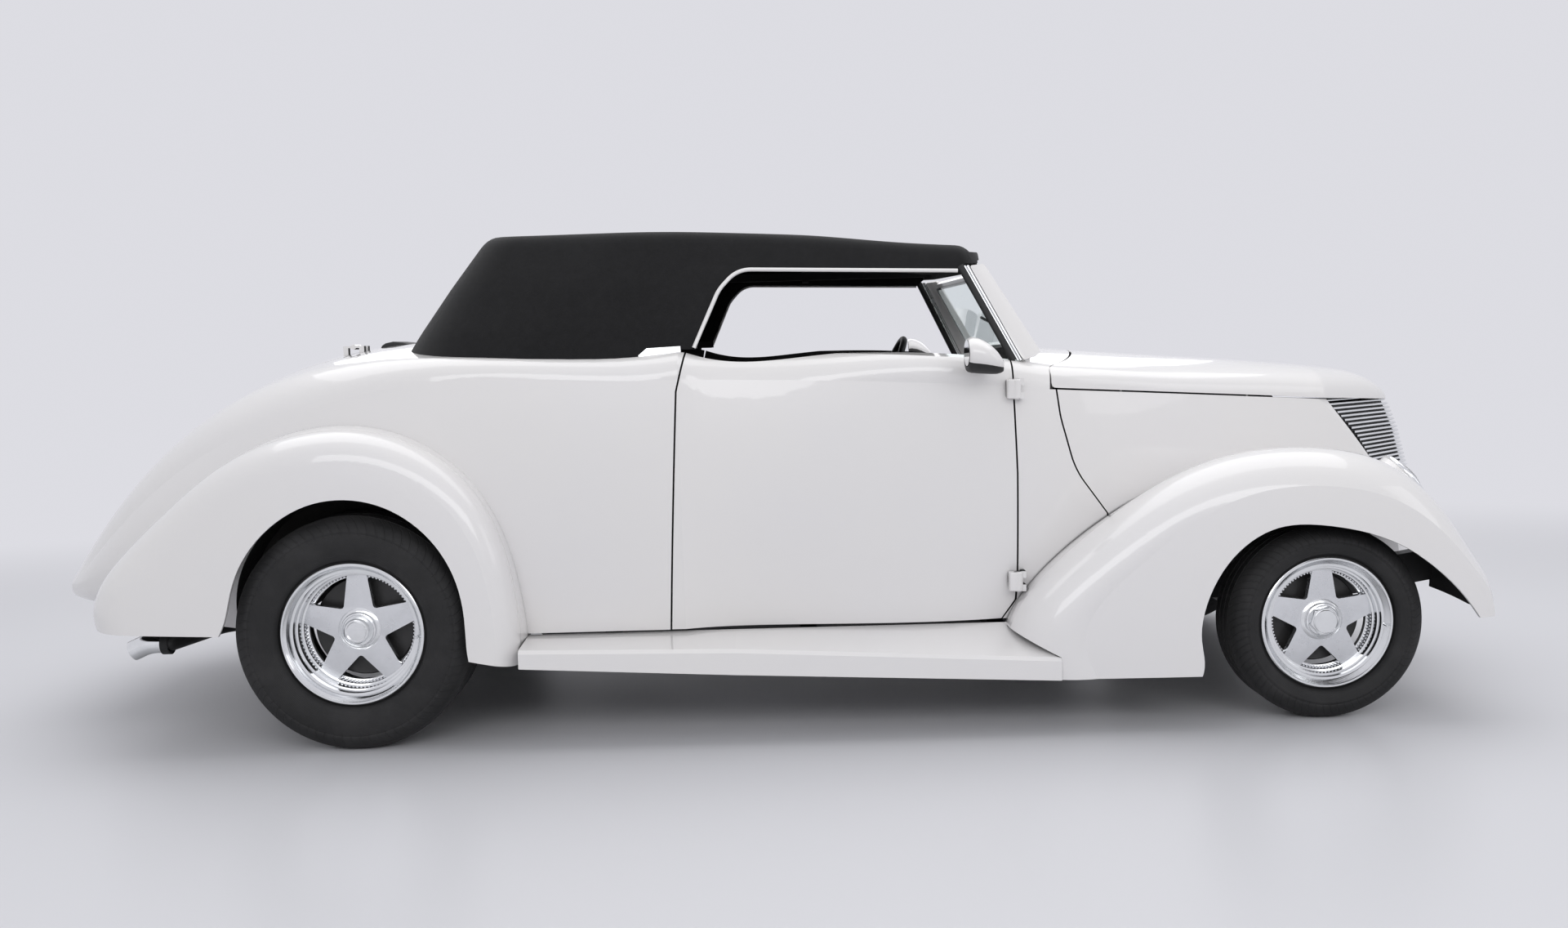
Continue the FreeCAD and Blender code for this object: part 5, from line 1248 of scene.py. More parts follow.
# ------------------------------------------------------------------ wheels
@dataclass
class Wheel:
    """One wheel: stepped barrel, five-point star, cap, valve, brake disc and tyre.

    Depths are measured inwards from the rim's outer lip.
    """

    place: str
    axle: tuple[float, float]
    radius: float
    out: float
    inner: float
    lip: float
    width: float
    flange: float
    star_depth: float
    hexed: bool
    spokes: int = 5
    knurls: int = 96
    star_thick: float = 0.020
    hub: float = 0.062
    cap: float = 0.049

    @property
    def reach(self) -> float:
        """Radius at which the spokes meet the barrel."""
        return self.flange - 0.046

    def at(self, depth: float) -> float:
        """Place across the car of a depth behind the lip, on the right side."""
        return -self.lip + depth

    def turned(self, name: str, rows: Sequence[tuple[float, float]], steps: int = 120) -> bpy.types.Object:
        """Lathes (depth, radius) rows about the axle."""
        middle = (fore(self.axle[0]), 0.0, self.axle[1])
        profile = [(self.at(depth), radius) for depth, radius in rows]
        obj = Bench.lathe(name, profile, middle, (0.0, 1.0, 0.0), steps)
        return Bench.smooth(obj, 24.0)

    def barrel(self) -> bpy.types.Object:
        """Turns the stepped barrel with its rolled lip."""
        f, w, d = self.flange, self.width, self.star_depth
        bead = f - 0.017
        rows = [(0.002, f), (0.007, f), (0.013, bead), (w - 0.013, bead), (w - 0.007, f), (w, f),
                (w, f - 0.006), (w - 0.016, bead - 0.008), (d + 0.052, bead - 0.008),
                (d + 0.040, f - 0.053), (d + 0.024, f - 0.053), (d + 0.022, f - 0.047),
                (d - 0.002, f - 0.045), (d - 0.004, f - 0.040), (d * 0.62, f - 0.037),
                (d * 0.60, f - 0.032), (d * 0.36, f - 0.029), (d * 0.34, f - 0.022),
                (0.009, f - 0.016), (0.004, f - 0.011), (0.0, f - 0.008), (0.0, f - 0.003)]
        return self.turned("barrel_" + self.place, rows)

    def star(self) -> bpy.types.Object:
        """Cuts the star from plate, bevels it and dishes it towards the barrel."""
        step = 2.0 * math.pi / self.spokes
        points: list[tuple[float, float]] = []
        corners: list[float] = []
        for k in range(self.spokes):
            turn = math.pi / 2.0 + k * step
            foot, end = self.hub + 0.004, self.reach + 0.002
            for along, across, soft in ((foot, -0.043, 0.012), (end, -0.0285, 0.003), (end, 0.0285, 0.003),
                                        (foot, 0.043, 0.012)):
                points.append((along * math.cos(turn) - across * math.sin(turn),
                               along * math.sin(turn) + across * math.cos(turn)))
                corners.append(soft)
        x, z = fore(self.axle[0]), self.axle[1]
        loop = [(x + px, z + pz) for px, pz in rounded(points, corners)]
        obj = Bench.plate("star_" + self.place, loop, self.at(self.star_depth),
                          self.at(self.star_depth + self.star_thick))
        Bench.bevel(obj, 0.0045)
        return Bench.smooth(obj, 30.0)

    def knurling(self) -> bpy.types.Object:
        """Rings the barrel with fine teeth between the spokes."""
        x, z = fore(self.axle[0]), self.axle[1]
        points: list[Point] = []
        faces: list[Sequence[int]] = []
        start, depth = self.star_depth + 0.001, 0.022
        for k in range(self.knurls):
            turn = 2.0 * math.pi * (k + 0.5) / self.knurls
            base = len(points)
            for deep in (start, start + depth):
                for radius, half in ((self.reach - 0.0005, 0.0034), (self.reach - 0.0042, 0.0014)):
                    for side in (-half, half):
                        points.append((x + radius * math.cos(turn) - side * math.sin(turn), self.at(deep),
                                       z + radius * math.sin(turn) + side * math.cos(turn)))
            faces += [tuple(base + i for i in quad) for quad in
                      ((0, 2, 3, 1), (4, 5, 7, 6), (0, 4, 6, 2), (1, 3, 7, 5), (2, 6, 7, 3), (0, 1, 5, 4))]
        obj = Bench.mesh("knurls_" + self.place, points, faces)
        return Bench.outward(obj)

    def centre_cap(self) -> bpy.types.Object:
        """Turns the hub, the ring and the cap; the front ones carry a six-sided step."""
        d = self.star_depth
        rows = [(d + 0.034, 0.0), (d + 0.034, self.hub), (d - 0.001, self.hub), (d - 0.005, self.hub - 0.006),
                (d - 0.006, self.cap + 0.004), (d - 0.009, self.cap + 0.001), (d - 0.012, self.cap + 0.001),
                (d - 0.014, self.cap - 0.003), (d - 0.011, self.cap - 0.005), (d - 0.011, 0.038)]
        if self.hexed:
            rows += [(d - 0.011, 0.0)]
        else:
            rows += [(d - 0.030, 0.0375), (d - 0.034, 0.034), (d - 0.035, 0.030), (d - 0.033, 0.027),
                     (d - 0.0345, 0.018), (d - 0.035, 0.0)]
        hub = self.turned("cap_" + self.place, rows, 96)
        if not self.hexed:
            return hub
        x, z = fore(self.axle[0]), self.axle[1]
        turns = [math.pi * (k + 0.2) / 3.0 for k in range(6)]
        corners = [(x + 0.044 * math.cos(turn), z + 0.044 * math.sin(turn)) for turn in turns]
        nut = Bench.plate("nut_" + self.place, rounded(corners, [0.004] * 6), self.at(d - 0.028),
                          self.at(d - 0.009))
        Bench.bevel(nut, 0.003)
        Bench.smooth(nut, 30.0)
        rows = [(d - 0.020, 0.0), (d - 0.020, 0.035), (d - 0.031, 0.035), (d - 0.033, 0.033),
                (d - 0.0325, 0.028), (d - 0.0335, 0.0)]
        face = self.turned("cap_face_" + self.place, rows, 72)
        return Bench.joined([hub, nut, face], "cap_" + self.place)

    def valve(self) -> bpy.types.Object:
        """Sets the valve through the outer step of the barrel."""
        turn = math.radians(-4.0)
        radius = self.flange - 0.022
        x = fore(self.axle[0]) + radius * math.cos(turn)
        z = self.axle[1] + radius * math.sin(turn)
        profile = [(-0.012, 0.0), (-0.012, 0.0042), (0.008, 0.0042), (0.010, 0.0034), (0.016, 0.0034),
                   (0.018, 0.0024), (0.018, 0.0)]
        obj = Bench.lathe("valve_" + self.place, profile, (x, self.at(0.012), z), (0.0, -1.0, 0.0), 20)
        return Bench.smooth(obj, 40.0)

    def disc(self) -> bpy.types.Object:
        """Turns the brake disc and the drum behind the star."""
        d = self.star_depth
        edge = self.reach - 0.014
        rows = [(d + 0.034, 0.0), (d + 0.034, 0.060), (d + 0.058, 0.064), (d + 0.060, edge - 0.003),
                (d + 0.063, edge), (d + 0.078, edge), (d + 0.080, edge - 0.003), (d + 0.080, 0.030),
                (d + 0.080, 0.0)]
        return self.turned("disc_" + self.place, rows, 96)

    def tyre(self) -> bpy.types.Object:
        """Turns the tyre with its sidewall bands, shoulder and tread grooves."""
        out, r, f = self.out, self.radius, self.flange
        wide = out - self.inner
        bead = f - 0.017
        seat = out - (self.lip - 0.013)
        wall = [(seat, bead), (seat - 0.0015, f + 0.004), (seat - 0.007, f + 0.006), (0.012, f + 0.012),
                (0.0085, f + 0.016), (0.0075, f + 0.018), (0.0045, f + 0.026), (0.0022, f + 0.034),
                (0.0018, f + 0.036), (0.0, f + 0.040)]
        hump = r - 0.046
        wall += [(0.0, hump - 0.006), (0.0022, hump), (0.0012, hump + 0.003), (0.0012, hump + 0.008),
                 (0.0050, r - 0.030), (0.0125, r - 0.018), (0.0215, r - 0.009), (0.033, r - 0.0035)]
        tread: list[tuple[float, float]] = []
        grooves = 4
        first = 0.046
        pitch = (wide - 2.0 * first) / (grooves - 1)
        for k in range(grooves):
            middle = first + k * pitch
            tread += [(middle - 0.0045, r), (middle - 0.0030, r - 0.007), (middle + 0.0030, r - 0.007),
                      (middle + 0.0045, r)]
        far = [(wide - d, radius) for d, radius in reversed(wall)]
        middle = (fore(self.axle[0]), 0.0, self.axle[1])
        rows = [(-out + d, radius) for d, radius in wall + tread + far]
        obj = Bench.lathe("carcass_" + self.place, rows, middle, (0.0, 1.0, 0.0), 144)
        return Bench.smooth(obj, 38.0)

    def build(self) -> None:
        """Makes this wheel's pieces, on its own side of the car."""
        centre = (fore(self.axle[0]), self.axle[1])
        body = "wheel_" + self.place
        bright = Polished("rim_" + self.place, centre=centre, rings=2200.0, roughness=0.13)
        brushed = Polished("star_" + self.place, colour=(0.74, 0.75, 0.77), roughness=0.20, haze=0.16)
        rubber = TyreRubber("tyre_" + self.place, centre=centre, radius=self.radius)
        rims = [(self.barrel(), bright, "polished_alloy"), (self.star(), brushed, "polished_alloy"),
                (self.knurling(), brushed, "polished_alloy"), (self.centre_cap(), bright, "polished_alloy"),
                (self.valve(), CHROME, "chrome"), (self.disc(), DARK_IRON, "cast_iron")]
        made = [(piece, finish, slot, "rim_" + self.place) for piece, finish, slot in rims]
        made.append((self.tyre(), rubber, "tyre", "tyre_" + self.place))
        for piece, finish, slot, node in made:
            if self.place.endswith("left"):
                name = piece.name
                twin = Bench.mirrored(piece, name + "_twin")
                bpy.data.objects.remove(piece)
                twin.name = name
                twin.data.name = name
                piece = twin
            mount(piece, finish, body, node)
            log.info("wheel piece %s", piece.name)


def wheels() -> list[Wheel]:
    """Lists the four wheels: wide deep ones behind, narrower ones in front."""
    rear = dict(axle=(0.0, 0.342), radius=0.342, out=0.858, inner=0.580, lip=0.841, width=0.236,
                flange=0.2075, star_depth=0.078, hexed=False)
    front = dict(axle=(WHEELBASE, 0.288), radius=0.288, out=0.813, inner=0.620, lip=0.796, width=0.158,
                 flange=0.195, star_depth=0.048, hexed=True)
    return [Wheel(place=end + "_" + side, **sizes) for end, sizes in (("rear", rear), ("front", front))
            for side in ("right", "left")]


# ------------------------------------------------------------------ nose
class Surface:
    """Rays against one CAD node, to seat a new piece on it."""

    def __init__(self, *nodes: str) -> None:
        """Gathers the nodes' faces.

        Args:
            *nodes: Names of the CAD nodes.
        """
        self.trees = [BVHTree.FromPolygons([v.co.copy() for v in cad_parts[n].data.vertices],
                                           [tuple(p.vertices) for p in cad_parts[n].data.polygons])
                      for n in nodes]

    def hit(self, start: Vector, way: Vector, reach: float = 4.0) -> Vector | None:
        """Gives the first point that a ray meets, or None."""
        found = [tree.ray_cast(start, way.normalized(), reach) for tree in self.trees]
        near = [(distance, place) for place, _, _, distance in found if place is not None]
        return min(near, key=lambda pair: pair[0])[1] if near else None


@dataclass
class Hood:
    """The hood as one crowned sheet, flush with the cowl behind and the nose panel below."""

    seam: tuple[tuple[float, float], ...] = ((2.079, 0.9935), (3.020, 0.9265), (3.420, 0.8985))
    crest: tuple[tuple[float, float], ...] = (
        (2.130, 1.1105), (2.240, 1.0985), (2.550, 1.0735), (2.911, 1.0425), (3.120, 1.0190),
        (3.215, 1.0030), (3.285, 0.9770), (3.335, 0.9440), (3.363, 0.9130), (3.3695, 0.8985))
    rear_middle: float = 2.244
    rear_sweep: float = 1.081
    rear_corner: tuple[float, float] = (2.068, 0.646)
    tip: float = 3.3695
    shoulder: float = 3.030
    ribs: int = 84
    across: int = 25
    thick: float = 0.004

    @staticmethod
    def along(rows: Sequence[tuple[float, float]], place: float) -> float:
        """Reads a smooth curve through rows of (place, value).

        Args:
            rows: The rows, rising in place.
            place: Where to read it.

        Returns:
            The value there, on a monotone cubic.
        """
        place = min(max(place, rows[0][0]), rows[-1][0])
        slopes = [(b[1] - a[1]) / (b[0] - a[0]) for a, b in zip(rows, rows[1:])]
        inner = [0.0 if p * q <= 0 else 2.0 * p * q / (p + q) for p, q in zip(slopes, slopes[1:])]
        ends = [slopes[0]] + inner + [slopes[-1]]
        for i, (a, b) in enumerate(zip(rows, rows[1:])):
            if place <= b[0]:
                h = b[0] - a[0]
                t = (place - a[0]) / h
                return ((2 * t ** 3 - 3 * t * t + 1) * a[1] + (t ** 3 - 2 * t * t + t) * h * ends[i]
                        + (3 * t * t - 2 * t ** 3) * b[1] + (t ** 3 - t * t) * h * ends[i + 1])
        return rows[-1][1]

    def seam_z(self, x: float) -> float:
        """Height of the hood's lower edge."""
        for (x0, z0), (x1, z1) in zip(self.seam, self.seam[1:]):
            if x <= x1:
                return z0 + (z1 - z0) * (x - x0) / (x1 - x0)
        return self.seam[-1][1]

    def lower_edge(self) -> list[tuple[float, float, float]]:
        """Walks the lower edge from the cowl to the prow, flush with the nose panel, on the left."""
        panel = Surface("nose_panel")
        edge: list[tuple[float, float, float]] = []
        start = self.rear_corner[0]
        side = int(self.ribs * 0.74)
        for k in range(side):
            x = start + (self.shoulder - start) * k / side
            place = panel.hit(Vector((fore(x), 1.4, self.seam_z(x) - 0.016)), Vector((0, -1, 0)))
            wide = place.y if place is not None else (edge[-1][1] if edge else self.rear_corner[1])
            edge.append((x, wide, self.seam_z(x)))
        wide = edge[-1][1]
        bow = 0.060
        drop = (self.tip - self.shoulder) / (wide - bow * 0.38)
        for k in range(self.ribs - side + 1):
            y = wide * math.cos(0.5 * math.pi * k / (self.ribs - side)) ** 0.9
            if y > bow:
                x = self.tip - drop * (y - bow * 0.38)
            else:
                x = self.tip - drop * bow * 0.62 * (y / bow) ** 2
            edge.append((x, y, self.seam_z(x)))
        return self.relaxed(edge)

    @staticmethod
    def relaxed(edge: list[tuple[float, float, float]]) -> list[tuple[float, float, float]]:
        """Eases the corner between the side and the prow."""
        for _ in range(6):
            mid = [tuple((a + 2.0 * b + c) / 4.0 for a, b, c in zip(p, q, r))
                   for p, q, r in zip(edge, edge[1:], edge[2:])]
            edge = [edge[0]] + mid + [edge[-1]]
        return edge

    def rear_rib(self, base: Sequence[Vector]) -> list[Vector]:
        """Lays the first rib against the cowl, just behind the hood's rear edge.

        Args:
            base: The rib as it would be without the cowl.

        Returns:
            The rib's points from the side to the middle.
        """
        cowl = Surface("cowl")
        rib: list[Vector] = []
        for point in base:
            x = self.rear_middle - point.y ** 2 / (2.0 * self.rear_sweep)
            x = x if point.y < 0.600 else mix(x, self.rear_corner[0], smooth((point.y - 0.600) / 0.040))
            place = cowl.hit(Vector((fore(x - 0.014), point.y, 1.6)), Vector((0, 0, -1)))
            flush = place is not None and abs(place.z - point.z) < 0.022
            rib.append(Vector((x, point.y, place.z - 0.0015 if flush else point.z)))
        return rib

    def rib(self, foot: tuple[float, float, float], share: float) -> list[Vector]:
        """Draws one rib from the lower edge up to the crest.

        Args:
            foot: The rib's foot as (x, y, z).
            share: How far along the hood it stands, 0 to 1.

        Returns:
            Its points from foot to crest.
        """
        x, y, z = foot
        behind = self.rear_middle - self.rear_corner[0]
        ahead = x + behind * (1.0 - smooth(share / 0.6)) if x < self.shoulder else x
        ahead = min(max(ahead, x), self.tip)
        top = self.along(self.crest, ahead)
        rise = max(top - z, 0.0)
        square = mix(0.80, 0.92, smooth((x - 3.0) / 0.3))
        points = []
        for k in range(self.across):
            turn = 0.5 * math.pi * k / (self.across - 1)
            c, s = math.cos(turn), math.sin(turn)
            points.append(Vector((mix(x, ahead, 1.0 - c), y * c ** square if c > 1e-6 else 0.0,
                                  z + rise * s ** square)))
        return points

    def build(self) -> None:
        """Makes the hood's skin and puts it in the CAD hood's place."""
        edge = self.lower_edge()
        base = self.rib(edge[0], 0.0)
        rear = self.rear_rib(base)
        points: list[Point] = []
        for index, foot in enumerate(edge):
            share = index / (len(edge) - 1)
            hold = 1.0 - smooth(share / 0.35)
            row = self.rib(foot, share)
            points += [tuple(p + (r - b) * hold) for p, r, b in zip(row, rear, base)]
        shifted = [(fore(x), y, z) for x, y, z in points]
        n = self.across
        rows = len(edge)
        faces = [(i * n + k, (i + 1) * n + k, (i + 1) * n + k + 1, i * n + k + 1)
                 for i in range(rows - 1) for k in range(n - 1)]
        half = Bench.mesh("hood_skin", shifted, faces)
        Bench.modify(half, "MIRROR", use_axis=(False, True, False), merge_threshold=0.0004)
        Bench.outward(half)
        Bench.facing(half, Vector((0.0, 0.0, 1.0)))
        Bench.modify(half, "SUBSURF", levels=1, render_levels=1)
        Bench.modify(half, "SOLIDIFY", thickness=self.thick, offset=-1.0)
        mount(Bench.smooth(half, 40.0), PAINT_TRIM, "hood", "hood")
        log.info("hood")


@dataclass
class HeadLamp:
    """An oval lamp let into the crown of each front fender."""

    centre: Point = (LAMP_X, -LAMP_Y, LAMP_Z)
    lean: float = 38.0
    toe: float = 5.0
    tall: float = 0.084
    wide: float = 0.084
    bulge: float = 0.027
    pod_side: float = 1.52
    pod_front: float = 1.62
    pod_tail: float = 2.60
    points: int = 64

    @property
    def middle(self) -> Vector:
        """The lamp's centre in the frame."""
        return Vector((fore(self.centre[0]), self.centre[1], self.centre[2]))

    def axes(self) -> tuple[Vector, Vector, Vector]:
        """Gives the lamp's up, side and outward directions."""
        lean, toe = math.radians(self.lean), math.radians(self.toe)
        out = Vector((math.cos(lean) * math.cos(toe), -math.cos(lean) * math.sin(toe), math.sin(lean)))
        side = Vector((0, 0, 1)).cross(out).normalized()
        return out.cross(side).normalized(), side, out

    def ring(self, scale: float, lift: float) -> list[Vector]:
        """Draws the lamp's own oval at a scale, lifted off its plane."""
        up, side, out = self.axes()
        middle = self.middle + out * lift
        turns = [2.0 * math.pi * k / self.points for k in range(self.points)]
        return [middle + side * (self.wide * scale * math.cos(t)) + up * (self.tall * scale * math.sin(t))
                for t in turns]

    def footprint(self) -> list[Vector]:
        """Draws the teardrop where the pod meets the fender."""
        up, side, out = self.axes()
        fender = Surface("front_fenders")
        places = []
        for flat in self.ring(1.0, 0.0):
            from_middle = flat - self.middle
            across, along = from_middle.dot(side), from_middle.dot(up)
            reach = self.pod_tail if along > 0 else self.pod_front
            start = flat + side * (across * (self.pod_side - 1.0)) + up * (along * (reach - 1.0))
            place = fender.hit(start + out * 0.30, out * -1.0, 0.7)
            places.append((start, (place - start).dot(out) if place is not None else -0.050))
        heights = [height for _, height in places]
        for _ in range(4):
            heights = [(heights[i - 1] + 2.0 * heights[i] + heights[(i + 1) % len(heights)]) / 4.0
                       for i in range(len(heights))]
        return [start + out * (height - 0.002) for (start, _), height in zip(places, heights)]

    def pod(self, rings: int = 14) -> bpy.types.Object:
        """Fairs the lamp into the fender with a painted teardrop."""
        out = self.axes()[2]
        low, high = self.footprint(), self.ring(1.06, -0.004)
        rows: list[list[Vector]] = []
        for r in range(rings + 1):
            share = 0.5 * math.pi * r / rings
            inward, upward = math.sin(share), 1.0 - math.cos(share)
            row = []
            for foot, top in zip(low, high):
                rise = (top - foot).dot(out)
                flat = (top - foot) - out * rise
                row.append(foot + flat * inward + out * (rise * upward))
            rows.append(row)
        rows.append([p - out * 0.012 for p in self.ring(0.98, -0.004)])
        points = [tuple(p) for row in rows for p in row]
        obj = Bench.mesh("lamp_pod", points, lofted(len(rows), self.points))
        return Bench.smooth(Bench.facing(obj, out), 50.0)

    def dome(self, name: str, rim: Sequence[Vector], rise: float, rings: int = 8) -> bpy.types.Object:
        """Closes a rim with a dome, or a bowl where the rise is negative.

        Args:
            name: Name of the piece.
            rim: The rim's points.
            rise: How far the middle stands above the rim.
            rings: Rings between the rim and the middle.

        Returns:
            The dome, facing outwards.
        """
        out = self.axes()[2]
        middle = sum(rim, Vector()) / len(rim)
        points: list[Vector] = []
        for r in range(rings):
            share = r / rings
            curve = 1.0 - (1.0 - share) ** 2
            lift = rise * (curve ** 0.5 if rise < 0 else curve)
            for p in rim:
                flat = p + (middle - p) * share
                points.append(flat + out * lift)
        points.append(middle + out * rise)
        n = len(rim)
        last = (rings - 1) * n
        faces = lofted(rings, n) + [(last + k, last + (k + 1) % n, len(points) - 1) for k in range(n)]
        obj = Bench.mesh(name, [tuple(p) for p in points], faces)
        return Bench.smooth(Bench.facing(obj, out), 60.0)

    def build(self) -> None:
        """Makes both lamps."""
        bezel = Bench.tube("lamp_bezel", [tuple(p) for p in self.ring(1.0, 0.002)], 0.0075, closed=True,
                           resolution=5)
        lens = self.dome("lamp_glass", self.ring(0.93, 0.003), self.bulge)
        Bench.modify(lens, "SOLIDIFY", thickness=0.003, offset=-1.0)
        Bench.smooth(lens, 60.0)
        bowl = self.dome("lamp_bowl", self.ring(0.94, 0.000), -0.050)
        out = self.axes()[2]
        bulb = Bench.lathe("lamp_bulb", [(-0.048, 0.0), (-0.048, 0.016), (-0.030, 0.016), (-0.026, 0.010),
                                         (-0.006, 0.009), (0.0, 0.006), (0.002, 0.0)], tuple(self.middle),
                           tuple(out), 32)
        Bench.smooth(bulb, 40.0)
        skirt = self.pod()
        liner = self.dome("lamp_liner", [p - out * 0.003 for p in self.footprint()], -0.055, 5)
        Bench.modify(liner, "SOLIDIFY", thickness=0.003, offset=0.0)
        for piece, finish, slot, node in ((bezel, CHROME, "chrome", "headlights"),
                                          (lens, LAMP_GLASS, "glass", "headlight_lenses"),
                                          (bowl, CHROME, "chrome", "headlights"),
                                          (bulb, CHROME, "chrome", "headlights"),
                                          (skirt, PAINT_TRIM, "pearl_paint", "headlights"),
                                          (liner, FRAME_BLACK, "chassis_black", "headlights")):
            mount_pair(piece, finish, nodes=(node,))
        log.info("head lamps")


@dataclass
class Grille:
    """Bright V bars from side to side over a dark radiator."""

    rows: tuple[tuple[float, float, float], ...] = ((0.300, 3.480, 3.270), (0.560, 3.466, 3.250),
                                                    (0.800, 3.404, 3.135), (1.060, 3.300, 2.925))
    rear: tuple[tuple[float, float], ...] = ((0.520, 3.300), (0.724, 3.201), (0.820, 3.134), (0.915, 3.038))
    low: float = 0.524
    top: float = 0.918
    pitch: float = 0.0133
    tall: float = 0.0080
    deep: float = 0.020
    bow: float = 0.060

    def level(self, z: float) -> tuple[float, float]:
        """Gives the V's tip and slope at a height."""
        for (z0, t0, s0), (z1, t1, s1) in zip(self.rows, self.rows[1:]):
            if z0 <= z <= z1:
                share = (z - z0) / (z1 - z0)
                tip, shoulder = mix(t0, t1, share), mix(s0, s1, share)
                return tip, (tip - shoulder) / 0.25
        return self.rows[-1][1], 1.5

    def v_line(self, z: float, inset: float) -> list[tuple[float, float]]:
        """Draws the V in plan from the right end to the left end."""
        tip, slope = self.level(z)
        tip -= inset
        bow = self.bow
        near = tip - bow * slope * 0.62
        back = Hood.along(self.rear, z) + 0.002
        side = bow + (near - back) / slope
        half = [(tip - (tip - near) * (k / 6.0) ** 2, bow * k / 6.0) for k in range(7)]
        half += [(near + (back - near) * k / 4.0, bow + (side - bow) * k / 4.0) for k in range(1, 5)]
        return [(x, -y) for x, y in reversed(half[1:])] + half

    def bar(self, z: float) -> tuple[list[Point], list[Sequence[int]]]:
        """Shapes one bar with a rounded front."""
        section = [(0.0, 0.5), (0.0015, 0.78), (0.0045, 0.96), (0.009, 1.0), (self.deep, 0.80),
                   (self.deep, 0.20), (0.009, 0.0), (0.0045, 0.04), (0.0015, 0.22)]
        tuck = 0.007 * smooth((z - 0.880) / 0.012)
        rings = [self.v_line(z, 0.001 + inset + tuck) for inset, _ in section]
        points: list[Point] = []
        for station in range(len(rings[0])):
            for ring, (_, share) in zip(rings, section):
                x, y = ring[station]
                points.append((fore(x), y, z + self.tall * share))
        n, m = len(section), len(rings[0])
        faces = lofted(m, n) + [tuple(range(n)), tuple((m - 1) * n + k for k in reversed(range(n)))]
        return points, faces

    def bars(self) -> bpy.types.Object:
        """Stacks the bars up the V."""
        points: list[Point] = []
        faces: list[Sequence[int]] = []
        z = self.low
        while z < self.top:
            bar_points, bar_faces = self.bar(z)
            base = len(points)
            points += bar_points
            faces += [tuple(base + i for i in face) for face in bar_faces]
            z += self.pitch
        obj = Bench.mesh("grille_bars", points, faces)
        Bench.outward(obj)
        return Bench.smooth(obj, 50.0)

    def screen(self) -> bpy.types.Object:
        """Hangs the dark radiator screen behind the bars."""
        points: list[Point] = []
        levels = [self.low - 0.006, 0.600, 0.700, 0.800, 0.900]
        for z in levels:
            for x, y in self.v_line(z, self.deep + 0.004):
                points.append((fore(x), y, z))
        obj = Bench.mesh("radiator_screen", points, lofted(len(levels), len(points) // len(levels), False))
        Bench.modify(obj, "SOLIDIFY", thickness=0.004, offset=0.0)
        return Bench.smooth(obj, 40.0)

    def build(self) -> None:
        """Makes the grille."""
        bars, screen = self.bars(), self.screen()
        mount(bars, BAR_BRIGHT, node="grille")
        mount(screen, RUBBER, node="grille")
        log.info("grille")


